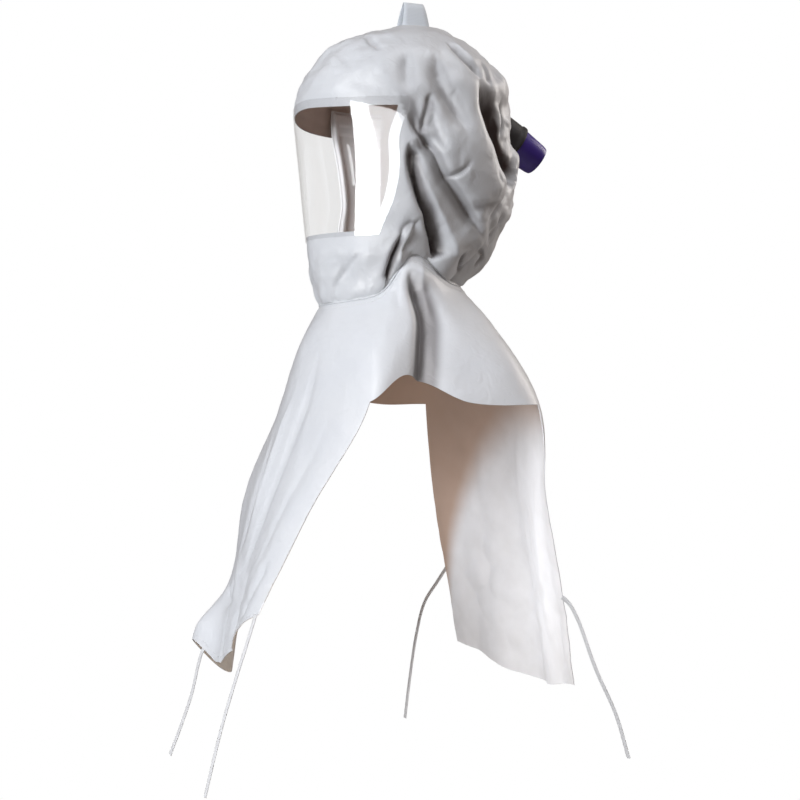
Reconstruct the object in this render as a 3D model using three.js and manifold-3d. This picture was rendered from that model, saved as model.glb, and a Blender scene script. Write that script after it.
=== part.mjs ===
// A loose-fitting respirator hood of coated cloth: a head cover with a clear visor, gathered at
// the neck onto a cape whose front and rear panels hang free, with four ties, a hang loop on the
// crown and a hose coupling at the back.
// Millimetres, +Z up. The face looks along -Y, and the wearer's left is +X.
// The origin is the top of the crown, where the hood sits on the head harness.
import * as THREE from 'three';
import { mergeVertices } from 'three/addons/utils/BufferGeometryUtils.js';
import ManifoldModule from 'manifold-3d';

const wasm = await ManifoldModule();
wasm.setup();

// Walls and clearances
const CLOTH = 1.4;
const VISOR_SHEET = 1.0;
const GAP = 0.3;
const SEAM_GAP = 1.0;
const SEAM_RADIUS = 2.5;
const SEAM_SIDES = 6;

// The head cover in level rings, from the crown down to the neck seam. drop is the depth below
// the crown; front and back are the reach of the ring before and behind the crown's axis; half is
// half its width, which it has at the station middle; bow and nape are the exponents of the
// front and back half ovals; edge is the angle from the face of the visor's side line.
const HEAD_RINGS = [
  { drop: 0, front: 0, back: 0, half: 0, middle: 0, bow: 2.1, nape: 2.1, edge: 60 },
  { drop: 7, front: 32, back: 38, half: 34, middle: 0, bow: 2.1, nape: 2.1, edge: 60 },
  { drop: 18, front: 66, back: 57, half: 60, middle: 0, bow: 2.2, nape: 2.1, edge: 60 },
  { drop: 31, front: 94, back: 72, half: 78, middle: 0, bow: 2.2, nape: 2.1, edge: 61 },
  { drop: 48, front: 110, back: 90, half: 94, middle: 0, bow: 2.2, nape: 2.2, edge: 63 },
  { drop: 66, front: 123, back: 105, half: 104, middle: 0, bow: 2.2, nape: 2.2, edge: 65 },
  { drop: 85, front: 131, back: 117, half: 111, middle: 0, bow: 2.2, nape: 2.2, edge: 66 },
  { drop: 112, front: 132, back: 127, half: 115, middle: 0, bow: 2.1, nape: 2.2, edge: 66 },
  { drop: 146, front: 131, back: 129, half: 117, middle: 0, bow: 1.85, nape: 2.2, edge: 59 },
  { drop: 180, front: 128, back: 128, half: 115, middle: 0, bow: 1.75, nape: 2.2, edge: 58 },
  { drop: 212, front: 125, back: 119, half: 109, middle: -2, bow: 1.75, nape: 2.2, edge: 56 },
  { drop: 243, front: 122, back: 105, half: 102, middle: -6, bow: 1.8, nape: 2.2, edge: 51 },
  { drop: 277, front: 117, back: 90, half: 92, middle: -16, bow: 1.9, nape: 2.1, edge: 50 },
  { drop: 310, front: 104, back: 57, half: 80, middle: -26, bow: 2.0, nape: 2.0, edge: 50 },
];
const WINDOW_TOP_RING = 7;
const WINDOW_BOTTOM_RING = 11;
const NECK_RING = HEAD_RINGS.length - 1;

// Columns of the head cover's grid, counted from the face to the nape on each side
const VISOR_COLUMNS = 8;
const LAP_ANGLE = 5;
const HALF_COLUMNS = 24;

// The neck seam dips at the throat, and the cape is drawn up to a point over each shoulder
const SEAM_DIP = 12.5;
const SEAM_POINT = { angle: 87, rise: 40, ahead: 16, behind: 26 };

// Soft folds of the head cover: each is a line from one place to another, given by its angle from
// the face towards the wearer's left and its drop, with its depth inwards and its half width.
const HEAD_FOLDS = [
  { fromAngle: 78, fromDrop: 84, toAngle: 96, toDrop: 180, depth: 7, width: 13 },
  { fromAngle: 96, fromDrop: 180, toAngle: 118, toDrop: 262, depth: 6, width: 13 },
  { fromAngle: 82, fromDrop: 150, toAngle: 96, toDrop: 240, depth: 7, width: 11 },
  { fromAngle: 100, fromDrop: 40, toAngle: 108, toDrop: 110, depth: 5, width: 15 },
  { fromAngle: 142, fromDrop: 90, toAngle: 152, toDrop: 190, depth: 9, width: 15 },
  { fromAngle: -106, fromDrop: 80, toAngle: -112, toDrop: 190, depth: 7, width: 12 },
  { fromAngle: -122, fromDrop: 130, toAngle: -132, toDrop: 245, depth: 6, width: 13 },
  { fromAngle: -146, fromDrop: 90, toAngle: -154, toDrop: 200, depth: 8, width: 15 },
];
const GATHERS = { count: 11, depth: 3.2 };
// Mean radius of the head cover, for lengths along its rings, and the angles from the face
// between which the folds grow, so that the visor stays smooth
const HEAD_RADIUS = 115;
const FOLDS_GROW = { from: 52, to: 74 };

// Stations of the cape, from the middle of the chest round to the middle of the back. seamAngle
// is where a station starts on the neck seam and columns is the count of grid columns that
// follow it. levels run from the shoulder down to the hem: out is the distance from the middle,
// back the distance behind the crown's axis, and drop the depth below the crown. Where the
// wearer's right side hangs differently, right gives its place.
const CAPE_STATIONS = [
  {
    seamAngle: 0, columns: 8, levels: [
      { out: 0, back: -124, drop: 360 },
      { out: 0, back: -148, drop: 432 },
      { out: 0, back: -183, drop: 541 },
      { out: 0, back: -212, drop: 622 },
      { out: 0, back: -222, drop: 716 },
    ],
  },
  {
    seamAngle: 52, columns: 3, levels: [
      { out: 98, back: -86, drop: 362 },
      { out: 131, back: -98, drop: 431 },
      { out: 114, back: -151, drop: 541 },
      { out: 106, back: -184, drop: 606, right: { out: 97, back: -188, drop: 622 } },
      { out: 99, back: -209, drop: 650, right: { out: 80, back: -233, drop: 700 } },
    ],
  },
  {
    seamAngle: 87, columns: 4, levels: [
      { out: 105, back: -42, drop: 332 },
      { out: 132, back: -55, drop: 402 },
      { out: 136, back: -110, drop: 541 },
      { out: 126, back: -150, drop: 606 },
      { out: 116, back: -180, drop: 652 },
    ],
  },
  {
    seamAngle: 115, columns: 4, levels: [
      { out: 122, back: 10, drop: 355 },
      { out: 155, back: 5, drop: 431 },
      { out: 165, back: 40, drop: 541 },
      { out: 165, back: 50, drop: 640 },
      { out: 165, back: 60, drop: 735 },
    ],
  },
  {
    seamAngle: 142, columns: 8, levels: [
      { out: 104, back: 65, drop: 357 },
      { out: 154, back: 85, drop: 434 },
      { out: 156, back: 91, drop: 541 },
      { out: 156, back: 116, drop: 640 },
      { out: 154, back: 132, drop: 738 },
    ],
  },
  {
    seamAngle: 180, columns: 0, levels: [
      { out: 0, back: 88, drop: 357 },
      { out: 0, back: 116, drop: 434 },
      { out: 0, back: 138, drop: 545 },
      { out: 0, back: 155, drop: 655 },
      { out: 0, back: 165, drop: 762 },
    ],
  },
];
// Upright flutes of the hanging panels, which deepen from the shoulders to the hem
const FRONT_FLUTES = { waves: 3, depth: 4 };
const REAR_FLUTES = { waves: 2.5, depth: 6 };
const FLUTES_START = 0.25;

const FRONT_EDGE_STATION = 1;
const REAR_EDGE_STATION = 4;
const ARMHOLE_LEVEL = 2;
const ROWS_PER_LEVEL = [4, 4, 4, 3, 3];

// The hang loop, a tape across the crown that spreads towards its stitched feet
const LOOP = {
  height: 28, spread: 9, widthTop: 24, widthFoot: 34, tape: 1.6, middle: 5, foot: -2,
  squareness: 0.55, steps: 12,
};

// The hose coupling leaves the nape downwards; its end ring is centred at end
const INLET = {
  end: new THREE.Vector3(0, 165, -144),
  axis: new THREE.Vector3(0, 0.85, -0.527).normalize(),
  length: 38, bore: 13, endRadius: 18, rootRadius: 21, lip: 2, lipStep: 0.6,
};
const COLLAR = { outer: 22, inner: 17.5, length: 35, chamfer: 1.5 };
// The hole for the gland, cut along the inlet's axis before and behind the end ring
const HOLE = { before: 20, behind: 120, sides: 32 };
const LATHE_SIDES = 24;

// The moulded plate on the inside of the right wall, beside the visor: top and bottom are drops,
// front and rear are angles from the face, and a rim of step stands round its thinner panel
const PLATE = {
  top: 84, bottom: 224, front: -60, rear: -88, stand: 4, thick: 2.2, step: 2.6,
  rows: 8, columns: 6, rim: 1,
};

// The ties, flat tapes along hand-chosen routes from the lower corners of the cape
const TIE = { width: 6, thick: 1.3, steps: 18, facing: new THREE.Vector3(0.5, -0.86, 0) };
const TIE_ROUTES = {
  tie_front_left: [
    [101, -212, -650], [100, -221, -679], [98, -231, -711], [97, -247, -764], [95, -264, -834],
  ],
  tie_front_right: [
    [-30, -224, -684], [-35, -226, -693], [-39, -232, -707], [-46, -235, -722], [-58, -240, -758],
    [-70, -249, -795], [-84, -259, -832],
  ],
  tie_rear_left: [
    [160, 112, -641], [164, 118, -647], [168, 127, -665], [175, 145, -718], [182, 166, -768],
    [188, 178, -814],
  ],
  tie_rear_right: [
    [-160, 112, -646], [-163, 103, -666], [-166, 90, -688], [-169, 80, -728], [-172, 71, -791],
    [-174, 66, -836],
  ],
};

const radians = THREE.MathUtils.degToRad;
const { clamp, lerp, smoothstep } = THREE.MathUtils;

// Smooth value of one column of a table at a row position between its rows
function columnAt(table, column, position) {
  const row = clamp(Math.floor(position), 0, table.length - 2);
  const value = (index) => table[clamp(index, 0, table.length - 1)][column];
  const t = position - row;
  const [a, b, c, d] = [value(row - 1), value(row), value(row + 1), value(row + 2)];
  const slopeStart = (c - a) / 2;
  const slopeEnd = (d - b) / 2;
  const t2 = t * t;
  const t3 = t2 * t;
  return (2 * t3 - 3 * t2 + 1) * b + (t3 - 2 * t2 + t) * slopeStart
    + (3 * t2 - 2 * t3) * c + (t3 - t2) * slopeEnd;
}

// Height of the neck seam at an angle from the face, in degrees
function seamHeight(angle) {
  const turn = Math.abs(((angle + 540) % 360) - 180);
  const spread = turn < SEAM_POINT.angle ? SEAM_POINT.ahead : SEAM_POINT.behind;
  const point = SEAM_POINT.rise * Math.exp(-(((turn - SEAM_POINT.angle) / spread) ** 2));
  return -HEAD_RINGS[NECK_RING].drop - SEAM_DIP * Math.cos(radians(turn)) + point;
}

// A point of the smooth head cover at a ring position and an angle from the face, in degrees
function headPoint(position, angle) {
  const at = (column) => columnAt(HEAD_RINGS, column, position);
  const side = Math.sin(radians(angle));
  const ahead = Math.cos(radians(angle));
  const power = 2 / at(ahead > 0 ? 'bow' : 'nape');
  const middle = at('middle');
  const reach = ahead > 0 ? -(at('front') + middle) : at('back') - middle;
  const toSeam = smoothstep(position, WINDOW_BOTTOM_RING, NECK_RING);
  const seamShift = seamHeight(angle) + HEAD_RINGS[NECK_RING].drop;
  return new THREE.Vector3(
    Math.sign(side) * at('half') * Math.abs(side) ** power,
    middle + reach * Math.abs(ahead) ** power,
    -at('drop') + toSeam * seamShift,
  );
}

// Depth of a fold line at a place on the head cover, zero away from it
function foldDepth(fold, angle, drop) {
  const degree = radians(HEAD_RADIUS);
  const run = new THREE.Vector2(fold.toAngle - fold.fromAngle, 0).multiplyScalar(degree);
  run.y = fold.toDrop - fold.fromDrop;
  const turn = ((angle - fold.fromAngle + 540) % 360) - 180;
  const place = new THREE.Vector2(turn * degree, drop - fold.fromDrop);
  const along = clamp(place.dot(run) / run.lengthSq(), 0, 1);
  const away = place.distanceTo(run.multiplyScalar(along));
  return fold.depth * Math.exp(-((away / fold.width) ** 2));
}

// Normals of a grid of points, seen from outside; a closed grid joins its last column to its first
function gridNormals(points, closed) {
  const rows = points.length;
  return points.map((row, i) => row.map((point, j) => {
    const count = row.length;
    const left = closed ? row[(j + count - 1) % count] : row[Math.max(j - 1, 0)];
    const right = closed ? row[(j + 1) % count] : row[Math.min(j + 1, count - 1)];
    const above = points[Math.max(i - 1, 0)][j];
    const below = points[Math.min(i + 1, rows - 1)][j];
    const across = right.clone().sub(left);
    const down = below.clone().sub(above);
    const normal = down.cross(across);
    return normal.lengthSq() > 1e-9 ? normal.normalize() : new THREE.Vector3(0, 0, 1);
  }));
}

// A copy of a grid moved along its normals
function offsetGrid(points, normals, distance) {
  return points.map((row, i) => row.map((point, j) => (
    point.clone().addScaledVector(normals[i][j], distance)
  )));
}

// A closed wall between an outer and an inner grid, leaving out the cells that keep refuses
function wallGeometry(outer, inner, closed, keep = () => true) {
  const rows = outer.length - 1;
  const count = outer[0].length;
  const cells = closed ? count : count - 1;
  const kept = (i, j) => {
    if (i < 0 || i >= rows) return false;
    if (!closed && (j < 0 || j >= cells)) return false;
    return keep(i, (j + cells) % cells);
  };
  const positions = [];
  const face = (...corners) => {
    for (let k = 1; k + 1 < corners.length; k += 1) {
      const trio = [corners[0], corners[k], corners[k + 1]];
      const flat = trio.some((p, n) => p.distanceToSquared(trio[(n + 1) % 3]) < 1e-9);
      if (!flat) trio.forEach((p) => positions.push(p.x, p.y, p.z));
    }
  };
  for (let i = 0; i < rows; i += 1) {
    for (let j = 0; j < cells; j += 1) {
      if (!kept(i, j)) continue;
      const next = (j + 1) % count;
      const ring = [[i, j], [i + 1, j], [i + 1, next], [i, next]];
      const beyond = [[i, j - 1], [i + 1, j], [i, j + 1], [i - 1, j]];
      face(...ring.map(([r, c]) => outer[r][c]));
      const [first, ...rest] = ring.map(([r, c]) => inner[r][c]);
      face(first, ...rest.reverse());
      beyond.forEach(([r, c], k) => {
        if (kept(r, c)) return;
        const [fromRow, fromColumn] = ring[k];
        const [toRow, toColumn] = ring[(k + 1) % 4];
        face(outer[toRow][toColumn], outer[fromRow][fromColumn],
          inner[fromRow][fromColumn], inner[toRow][toColumn]);
      });
    }
  }
  const geometry = new THREE.BufferGeometry();
  geometry.setAttribute('position', new THREE.Float32BufferAttribute(positions, 3));
  return geometry;
}

// Solid for joining and cutting, from a closed geometry
function toManifold(geometry) {
  const bare = geometry.clone();
  bare.deleteAttribute('normal');
  bare.deleteAttribute('uv');
  const merged = mergeVertices(bare, 1e-3);
  return new wasm.Manifold(new wasm.Mesh({
    numProp: 3,
    vertProperties: new Float32Array(merged.attributes.position.array),
    triVerts: new Uint32Array(merged.index.array),
  }));
}

// Geometry of a solid that was joined or cut
function fromManifold(solid) {
  const mesh = solid.getMesh();
  const geometry = new THREE.BufferGeometry();
  geometry.setAttribute('position', new THREE.BufferAttribute(new Float32Array(mesh.vertProperties), 3));
  geometry.setIndex(new THREE.BufferAttribute(new Uint32Array(mesh.triVerts), 1));
  return geometry;
}

// A lathe about the inlet's axis; its profile runs along the axis from the end ring inwards
function inletLathe(profile, segments) {
  const points = profile.map(([r, y]) => new THREE.Vector2(r, y)).reverse();
  const geometry = new THREE.LatheGeometry(points, segments);
  const turn = new THREE.Quaternion().setFromUnitVectors(new THREE.Vector3(0, 1, 0), INLET.axis);
  return geometry.applyQuaternion(turn).translate(...INLET.end.toArray());
}

// Angles of the head cover's grid columns at a ring position
function columnAngles(position) {
  const edge = columnAt(HEAD_RINGS, 'edge', position);
  const half = [];
  for (let k = 0; k <= HALF_COLUMNS; k += 1) {
    const past = (k - VISOR_COLUMNS - 1) / (HALF_COLUMNS - VISOR_COLUMNS - 1);
    if (k <= VISOR_COLUMNS) half.push((edge * k) / VISOR_COLUMNS);
    else half.push(lerp(edge + LAP_ANGLE, 180, past));
  }
  const mirrored = half.slice(1, -1).reverse().map((angle) => 360 - angle);
  return [...half, ...mirrored];
}

// Ring positions of the head cover's grid rows, finer below the brim
function headRows() {
  const rows = [];
  for (let ring = 0; ring < NECK_RING; ring += 1) {
    rows.push(ring);
    if (ring >= WINDOW_TOP_RING) rows.push(ring + 0.5);
  }
  return [...rows, NECK_RING];
}

// Outward push of the folds and gathers at a place on the head cover
function headRelief(position, angle) {
  const drop = columnAt(HEAD_RINGS, 'drop', position);
  const folds = HEAD_FOLDS.reduce((sum, fold) => sum + foldDepth(fold, angle, drop), 0);
  const turn = Math.abs(((angle + 540) % 360) - 180);
  const clearOfVisor = smoothstep(turn, FOLDS_GROW.from, FOLDS_GROW.to);
  const nearNeck = smoothstep(position, WINDOW_BOTTOM_RING - 0.5, NECK_RING - 0.5);
  const gathers = GATHERS.depth * nearNeck * Math.cos(radians(GATHERS.count * turn));
  return gathers - folds * clearOfVisor;
}

const rowPositions = headRows();
const windowTopRow = rowPositions.indexOf(WINDOW_TOP_RING);
const windowBottomRow = rowPositions.indexOf(WINDOW_BOTTOM_RING);
const smoothHead = rowPositions.map((position) => (
  columnAngles(position).map((angle) => headPoint(position, angle))
));
const smoothHeadNormals = gridNormals(smoothHead, true);
const headGrid = smoothHead.map((row, i) => row.map((point, j) => {
  const position = rowPositions[i];
  const push = headRelief(position, columnAngles(position)[j]);
  return point.clone().addScaledVector(smoothHeadNormals[i][j], push);
}));
const headNormals = gridNormals(headGrid, true);

// A point beside the neck seam, square to it: above it where distance is positive
function seamSide(angle, distance) {
  const point = headPoint(NECK_RING, angle).setZ(seamHeight(angle));
  const ahead = headPoint(NECK_RING, angle + 1).setZ(seamHeight(angle + 1));
  const along = ahead.sub(headPoint(NECK_RING, angle - 1).setZ(seamHeight(angle - 1))).normalize();
  const outward = new THREE.Vector3(point.x, point.y - HEAD_RINGS[NECK_RING].middle, 0).normalize();
  const up = outward.cross(along).normalize();
  return point.addScaledVector(up, up.z > 0 ? distance : -distance);
}

// Whether a cell of the head cover's grid lies in the visor window
function inWindow(i, j) {
  const acrossFace = j < VISOR_COLUMNS || j >= 2 * HALF_COLUMNS - VISOR_COLUMNS;
  return acrossFace && i >= windowTopRow && i < windowBottomRow;
}

// The head cover's wall, open at the window, with a round hole for the gland
function hoodGeometry() {
  const outer = headGrid.map((row) => row.map((point) => point.clone()));
  const last = outer.length - 1;
  columnAngles(NECK_RING).forEach((angle, j) => {
    outer[last][j] = seamSide(angle, SEAM_RADIUS + SEAM_GAP);
  });
  const inner = offsetGrid(outer, headNormals, -CLOTH);
  const wall = toManifold(wallGeometry(outer, inner, true, (i, j) => !inWindow(i, j)));
  const hole = COLLAR.outer + GAP;
  const { before, behind, sides } = HOLE;
  const cutter = inletLathe([[0, before], [hole, before], [hole, -behind], [0, -behind]], sides);
  return fromManifold(wall.subtract(toManifold(cutter)));
}

// The clear sheet lies against the inside of the cloth and laps it all round the window
function visorGeometry() {
  const lapped = (grid) => grid.slice(windowTopRow - 1, windowBottomRow + 2).map((row) => (
    [...row.slice(-VISOR_COLUMNS - 1), ...row.slice(0, VISOR_COLUMNS + 2)]
  ));
  const outer = offsetGrid(headGrid, headNormals, -CLOTH - GAP);
  const inner = offsetGrid(headGrid, headNormals, -CLOTH - GAP - VISOR_SHEET);
  return wallGeometry(lapped(outer), lapped(inner), false);
}

// The roll of cloth along the neck seam
function neckSeamGeometry() {
  const points = [];
  const columns = 2 * HALF_COLUMNS;
  for (let j = 0; j < columns; j += 1) points.push(seamSide((360 * j) / columns, 0));
  const curve = new THREE.CatmullRomCurve3(points, true);
  const section = new THREE.Shape();
  for (let k = 0; k < SEAM_SIDES; k += 1) {
    const turn = (2 * Math.PI * k) / SEAM_SIDES;
    const place = [SEAM_RADIUS * Math.cos(turn), SEAM_RADIUS * Math.sin(turn)];
    if (k === 0) section.moveTo(...place);
    else section.lineTo(...place);
  }
  section.closePath();
  return new THREE.ExtrudeGeometry(section, { steps: columns, extrudePath: curve });
}

// Places of the cape's stations all the way round, at one level
function capeRing(level) {
  const left = CAPE_STATIONS.map(({ levels }) => levels[level]);
  const right = left.slice(1, -1).reverse().map((place) => place.right ?? place);
  const rightSide = right.map((place) => ({ ...place, out: -place.out }));
  const points = [...left, ...rightSide].map(({ out, back, drop }) => new THREE.Vector3(out, back, -drop));
  return new THREE.CatmullRomCurve3(points, true, 'centripetal');
}

// Columns of the cape: each has its place along the ring of stations and its angle on the seam
function capeColumns() {
  const half = [];
  CAPE_STATIONS.slice(0, -1).forEach((station, index) => {
    for (let k = 0; k < station.columns; k += 1) {
      const part = k / station.columns;
      const angle = lerp(station.seamAngle, CAPE_STATIONS[index + 1].seamAngle, part);
      half.push({ station: index + part, angle });
    }
  });
  const back = CAPE_STATIONS.length - 1;
  const right = half.slice(1).reverse().map(({ station, angle }) => (
    { station: 2 * back - station, angle: 360 - angle }
  ));
  return [...half, { station: back, angle: 180 }, ...right];
}

// Outward push of the flutes at a station and a share of the way from the seam to the hem
function capeRelief(station, share) {
  const back = CAPE_STATIONS.length - 1;
  const fromBack = Math.abs(station - back);
  const fromFront = back - fromBack;
  const grow = smoothstep(share, FLUTES_START, 1);
  const wave = (flutes, reach) => flutes.depth * Math.cos(Math.PI * flutes.waves * reach) * grow;
  if (fromFront <= FRONT_EDGE_STATION) return wave(FRONT_FLUTES, fromFront / FRONT_EDGE_STATION);
  if (fromFront >= REAR_EDGE_STATION) return wave(REAR_FLUTES, fromBack / (back - REAR_EDGE_STATION));
  return 0;
}

// Grid of the cape's outer face, row by row from the seam to the hem
function capeGrid(columns) {
  const rings = CAPE_STATIONS[0].levels.map((_, level) => capeRing(level));
  const stations = 2 * (CAPE_STATIONS.length - 1);
  const meridians = columns.map(({ station, angle }) => {
    const below = rings.map((ring) => ring.getPoint(station / stations));
    const start = seamSide(angle, -SEAM_RADIUS - SEAM_GAP);
    return new THREE.CatmullRomCurve3([start, ...below], false, 'centripetal');
  });
  const rows = [];
  ROWS_PER_LEVEL.forEach((count, level) => {
    for (let k = 0; k < count; k += 1) rows.push(level + k / count);
  });
  rows.push(ROWS_PER_LEVEL.length);
  const grid = rows.map((row) => meridians.map((curve) => curve.getPoint(row / ROWS_PER_LEVEL.length)));
  const normals = gridNormals(grid, true);
  return grid.map((line, i) => line.map((point, j) => (
    point.addScaledVector(normals[i][j], capeRelief(columns[j].station, rows[i] / ROWS_PER_LEVEL.length))
  )));
}

// The cape's wall, with an arm opening between the front and the rear panel on each side
function capeGeometry() {
  const columns = capeColumns();
  const outer = capeGrid(columns);
  const inner = offsetGrid(outer, gridNormals(outer, true), -CLOTH);
  const armholeRow = ROWS_PER_LEVEL.slice(0, ARMHOLE_LEVEL).reduce((sum, count) => sum + count, 0);
  const back = CAPE_STATIONS.length - 1;
  const inArmhole = (j) => {
    const next = columns[(j + 1) % columns.length].station || 2 * back;
    const station = (columns[j].station + next) / 2;
    const fromFront = station > back ? 2 * back - station : station;
    return fromFront > FRONT_EDGE_STATION && fromFront < REAR_EDGE_STATION;
  };
  return wallGeometry(outer, inner, true, (i, j) => i < armholeRow || !inArmhole(j));
}

// A tape standing over the crown as an arch across the head
function hangLoopGeometry() {
  const outer = [];
  const inner = [];
  for (let i = 0; i <= LOOP.steps; i += 1) {
    const turn = Math.PI * (i / LOOP.steps);
    const rise = Math.sin(turn) ** LOOP.squareness;
    const x = -LOOP.spread * Math.cos(turn);
    const width = lerp(LOOP.widthFoot, LOOP.widthTop, rise);
    const shrink = 1 - LOOP.tape / LOOP.spread;
    const low = LOOP.foot + LOOP.tape;
    const rowOf = (scale, top) => [-0.5, 0.5].map((end) => (
      new THREE.Vector3(x * scale, LOOP.middle + end * width, lerp(low, top, rise))
    ));
    outer.push(rowOf(1, LOOP.height));
    inner.push(rowOf(shrink, LOOP.height - LOOP.tape));
  }
  return wallGeometry(outer, inner, false);
}

// The coupling is a tapered tube with a flat end ring
function hoseInletGeometry() {
  const { bore, endRadius, rootRadius, length, lip, lipStep } = INLET;
  return inletLathe([
    [bore, 0], [endRadius, 0], [endRadius + lipStep, -lip], [rootRadius, -length],
    [bore, -length], [bore, 0],
  ], LATHE_SIDES);
}

// The gland is a sleeve that passes through the cloth behind the coupling
function inletCollarGeometry() {
  const start = -INLET.length - GAP;
  const { outer, inner, length, chamfer } = COLLAR;
  return inletLathe([
    [inner, start], [outer - chamfer, start], [outer, start - chamfer],
    [outer, start - length], [inner, start - length], [inner, start],
  ], LATHE_SIDES);
}

// A stepped plate that follows the inside of the right wall
function sidePlateGeometry() {
  const { rows, columns, rim } = PLATE;
  const face = [];
  const rear = [];
  for (let i = 0; i <= rows; i += 1) {
    const drop = lerp(PLATE.top, PLATE.bottom, i / rows);
    const position = HEAD_RINGS.findIndex((ring) => ring.drop >= drop);
    const above = HEAD_RINGS[position - 1].drop;
    const at = position - 1 + (drop - above) / (HEAD_RINGS[position].drop - above);
    const faceRow = [];
    const rearRow = [];
    for (let j = 0; j <= columns; j += 1) {
      const angle = lerp(PLATE.front, PLATE.rear, j / columns);
      const point = headPoint(at, angle);
      const inward = new THREE.Vector3(-point.x, -point.y, 0).normalize();
      const inset = i > rim && j > rim ? PLATE.step : 0;
      const stand = CLOTH + VISOR_SHEET + 2 * GAP + PLATE.stand;
      rearRow.push(point.clone().addScaledVector(inward, stand));
      faceRow.push(point.clone().addScaledVector(inward, stand + PLATE.thick + PLATE.step - inset));
    }
    face.push(faceRow);
    rear.push(rearRow);
  }
  return wallGeometry(face, rear, false);
}

// A flat tape along a route of points, its wide face turned to one side
function tieGeometry(route) {
  const curve = new THREE.CatmullRomCurve3(route.map((point) => new THREE.Vector3(...point)));
  const front = [];
  const rear = [];
  for (let i = 0; i <= TIE.steps; i += 1) {
    const point = curve.getPointAt(i / TIE.steps);
    const along = curve.getTangentAt(i / TIE.steps);
    const across = along.clone().cross(TIE.facing).normalize();
    const outward = across.clone().cross(along).normalize();
    const edges = (lift) => [0.5, -0.5].map((end) => (
      point.clone().addScaledVector(across, end * TIE.width).addScaledVector(outward, lift * TIE.thick)
    ));
    front.push(edges(0.5));
    rear.push(edges(-0.5));
  }
  return wallGeometry(front, rear, false);
}

// One named piece with its own finish
function piece(name, geometry, color, roughness, metalness = 0) {
  const mesh = new THREE.Mesh(geometry, new THREE.MeshStandardMaterial({ color, roughness, metalness }));
  mesh.name = name;
  return mesh;
}

const CLOTH_WHITE = 0xdcdee2;
const CLEAR_GREY = 0xe8ecef;
const TAPE_WHITE = 0xe6e6e4;
const COUPLING_PURPLE = 0x33206e;
const GLAND_BLACK = 0x1a1718;
const PLATE_GREY = 0xc3c5c8;

const respiratorHood = new THREE.Group();
respiratorHood.add(
  piece('hood', hoodGeometry(), CLOTH_WHITE, 0.35),
  piece('visor', visorGeometry(), CLEAR_GREY, 0.05),
  piece('neck_seam', neckSeamGeometry(), CLOTH_WHITE, 0.4),
  piece('cape', capeGeometry(), CLOTH_WHITE, 0.35),
  piece('hang_loop', hangLoopGeometry(), TAPE_WHITE, 0.6),
  piece('inlet_collar', inletCollarGeometry(), GLAND_BLACK, 0.6),
  piece('hose_inlet', hoseInletGeometry(), COUPLING_PURPLE, 0.4),
  piece('side_plate', sidePlateGeometry(), PLATE_GREY, 0.5),
);
Object.entries(TIE_ROUTES).forEach(([name, route]) => {
  respiratorHood.add(piece(name, tieGeometry(route), TAPE_WHITE, 0.7));
});

export default respiratorHood;
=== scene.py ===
"""Looks of a loose respirator hood: coated cloth with its folds, a clear visor, tapes and a hose coupling."""
import logging
import math
from dataclasses import dataclass
from enum import Enum
from functools import partial

import bmesh
import bpy
import numpy as np
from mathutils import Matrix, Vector, kdtree, noise


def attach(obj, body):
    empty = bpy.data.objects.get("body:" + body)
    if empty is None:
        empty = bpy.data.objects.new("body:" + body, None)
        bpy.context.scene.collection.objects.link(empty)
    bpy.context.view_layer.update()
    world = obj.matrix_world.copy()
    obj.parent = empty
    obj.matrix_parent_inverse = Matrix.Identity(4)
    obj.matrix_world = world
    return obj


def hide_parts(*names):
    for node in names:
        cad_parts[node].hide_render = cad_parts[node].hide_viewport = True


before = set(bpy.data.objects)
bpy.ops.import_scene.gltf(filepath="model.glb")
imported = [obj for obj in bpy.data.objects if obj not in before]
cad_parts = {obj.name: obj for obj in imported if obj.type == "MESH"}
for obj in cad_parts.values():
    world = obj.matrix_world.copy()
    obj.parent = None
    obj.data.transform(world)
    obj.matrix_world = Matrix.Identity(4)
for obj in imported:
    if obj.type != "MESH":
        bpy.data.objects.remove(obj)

LOG = logging.getLogger("respirator_hood")
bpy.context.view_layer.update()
BODY = "root"
MM = 0.001
# Point attribute of painted shade: how far each place's colour is darkened where shade falls
PAINTED_SHADE = "painted_shade"
# Faces that meet at more degrees than this keep a sharp edge, and places nearer than this in metres are one
SHARP_ANGLE = 55.0
SAME_PLACE = 1e-6
Array = np.ndarray
Object = bpy.types.Object
Material = bpy.types.Material
Socket = bpy.types.NodeSocket
Tree = bpy.types.NodeTree


class Slot(Enum):
    """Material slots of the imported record."""

    CLOTH = "coated_cloth"
    VISOR = "visor_sheet"
    TAPE = "tape"
    GLAND = "gland"
    COUPLING = "coupling"
    PLATE = "inner_plate"


class Side(Enum):
    """Side of a cloth wall that a face lies on, which is also the place of its finish on the piece."""

    OUTSIDE = 0
    INSIDE = 1


# Numbers and grids


def smoothstep(value: Array, low: float, high: float) -> Array:
    """Soft ramp from 0 at low to 1 at high."""
    t = np.clip((value - low) / (high - low), 0.0, 1.0)
    return t * t * (3.0 - 2.0 * t)


def signed_turn(angle: Array) -> Array:
    """Angle brought between -180 and 180 degrees."""
    return (np.asarray(angle) + 180.0) % 360.0 - 180.0


def unit(vectors: Array) -> Array:
    """Vectors at length one; a vector with no length points up."""
    length = np.linalg.norm(vectors, axis=-1, keepdims=True)
    return np.where(length > 1e-9, vectors / np.maximum(length, 1e-9), (0.0, 0.0, 1.0))


def grid_normals(points: Array, closed: bool) -> Array:
    """Outward normals of a grid whose rows run down and whose columns run towards the wearer's left.

    Args:
        points: Grid of places, rows by columns by three.
        closed: Whether the last column meets the first.

    Returns:
        A normal for each place.
    """
    if closed:
        across = np.roll(points, -1, axis=1) - np.roll(points, 1, axis=1)
    else:
        across = np.gradient(points, axis=1)
    return unit(np.cross(np.gradient(points, axis=0), across))


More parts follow.
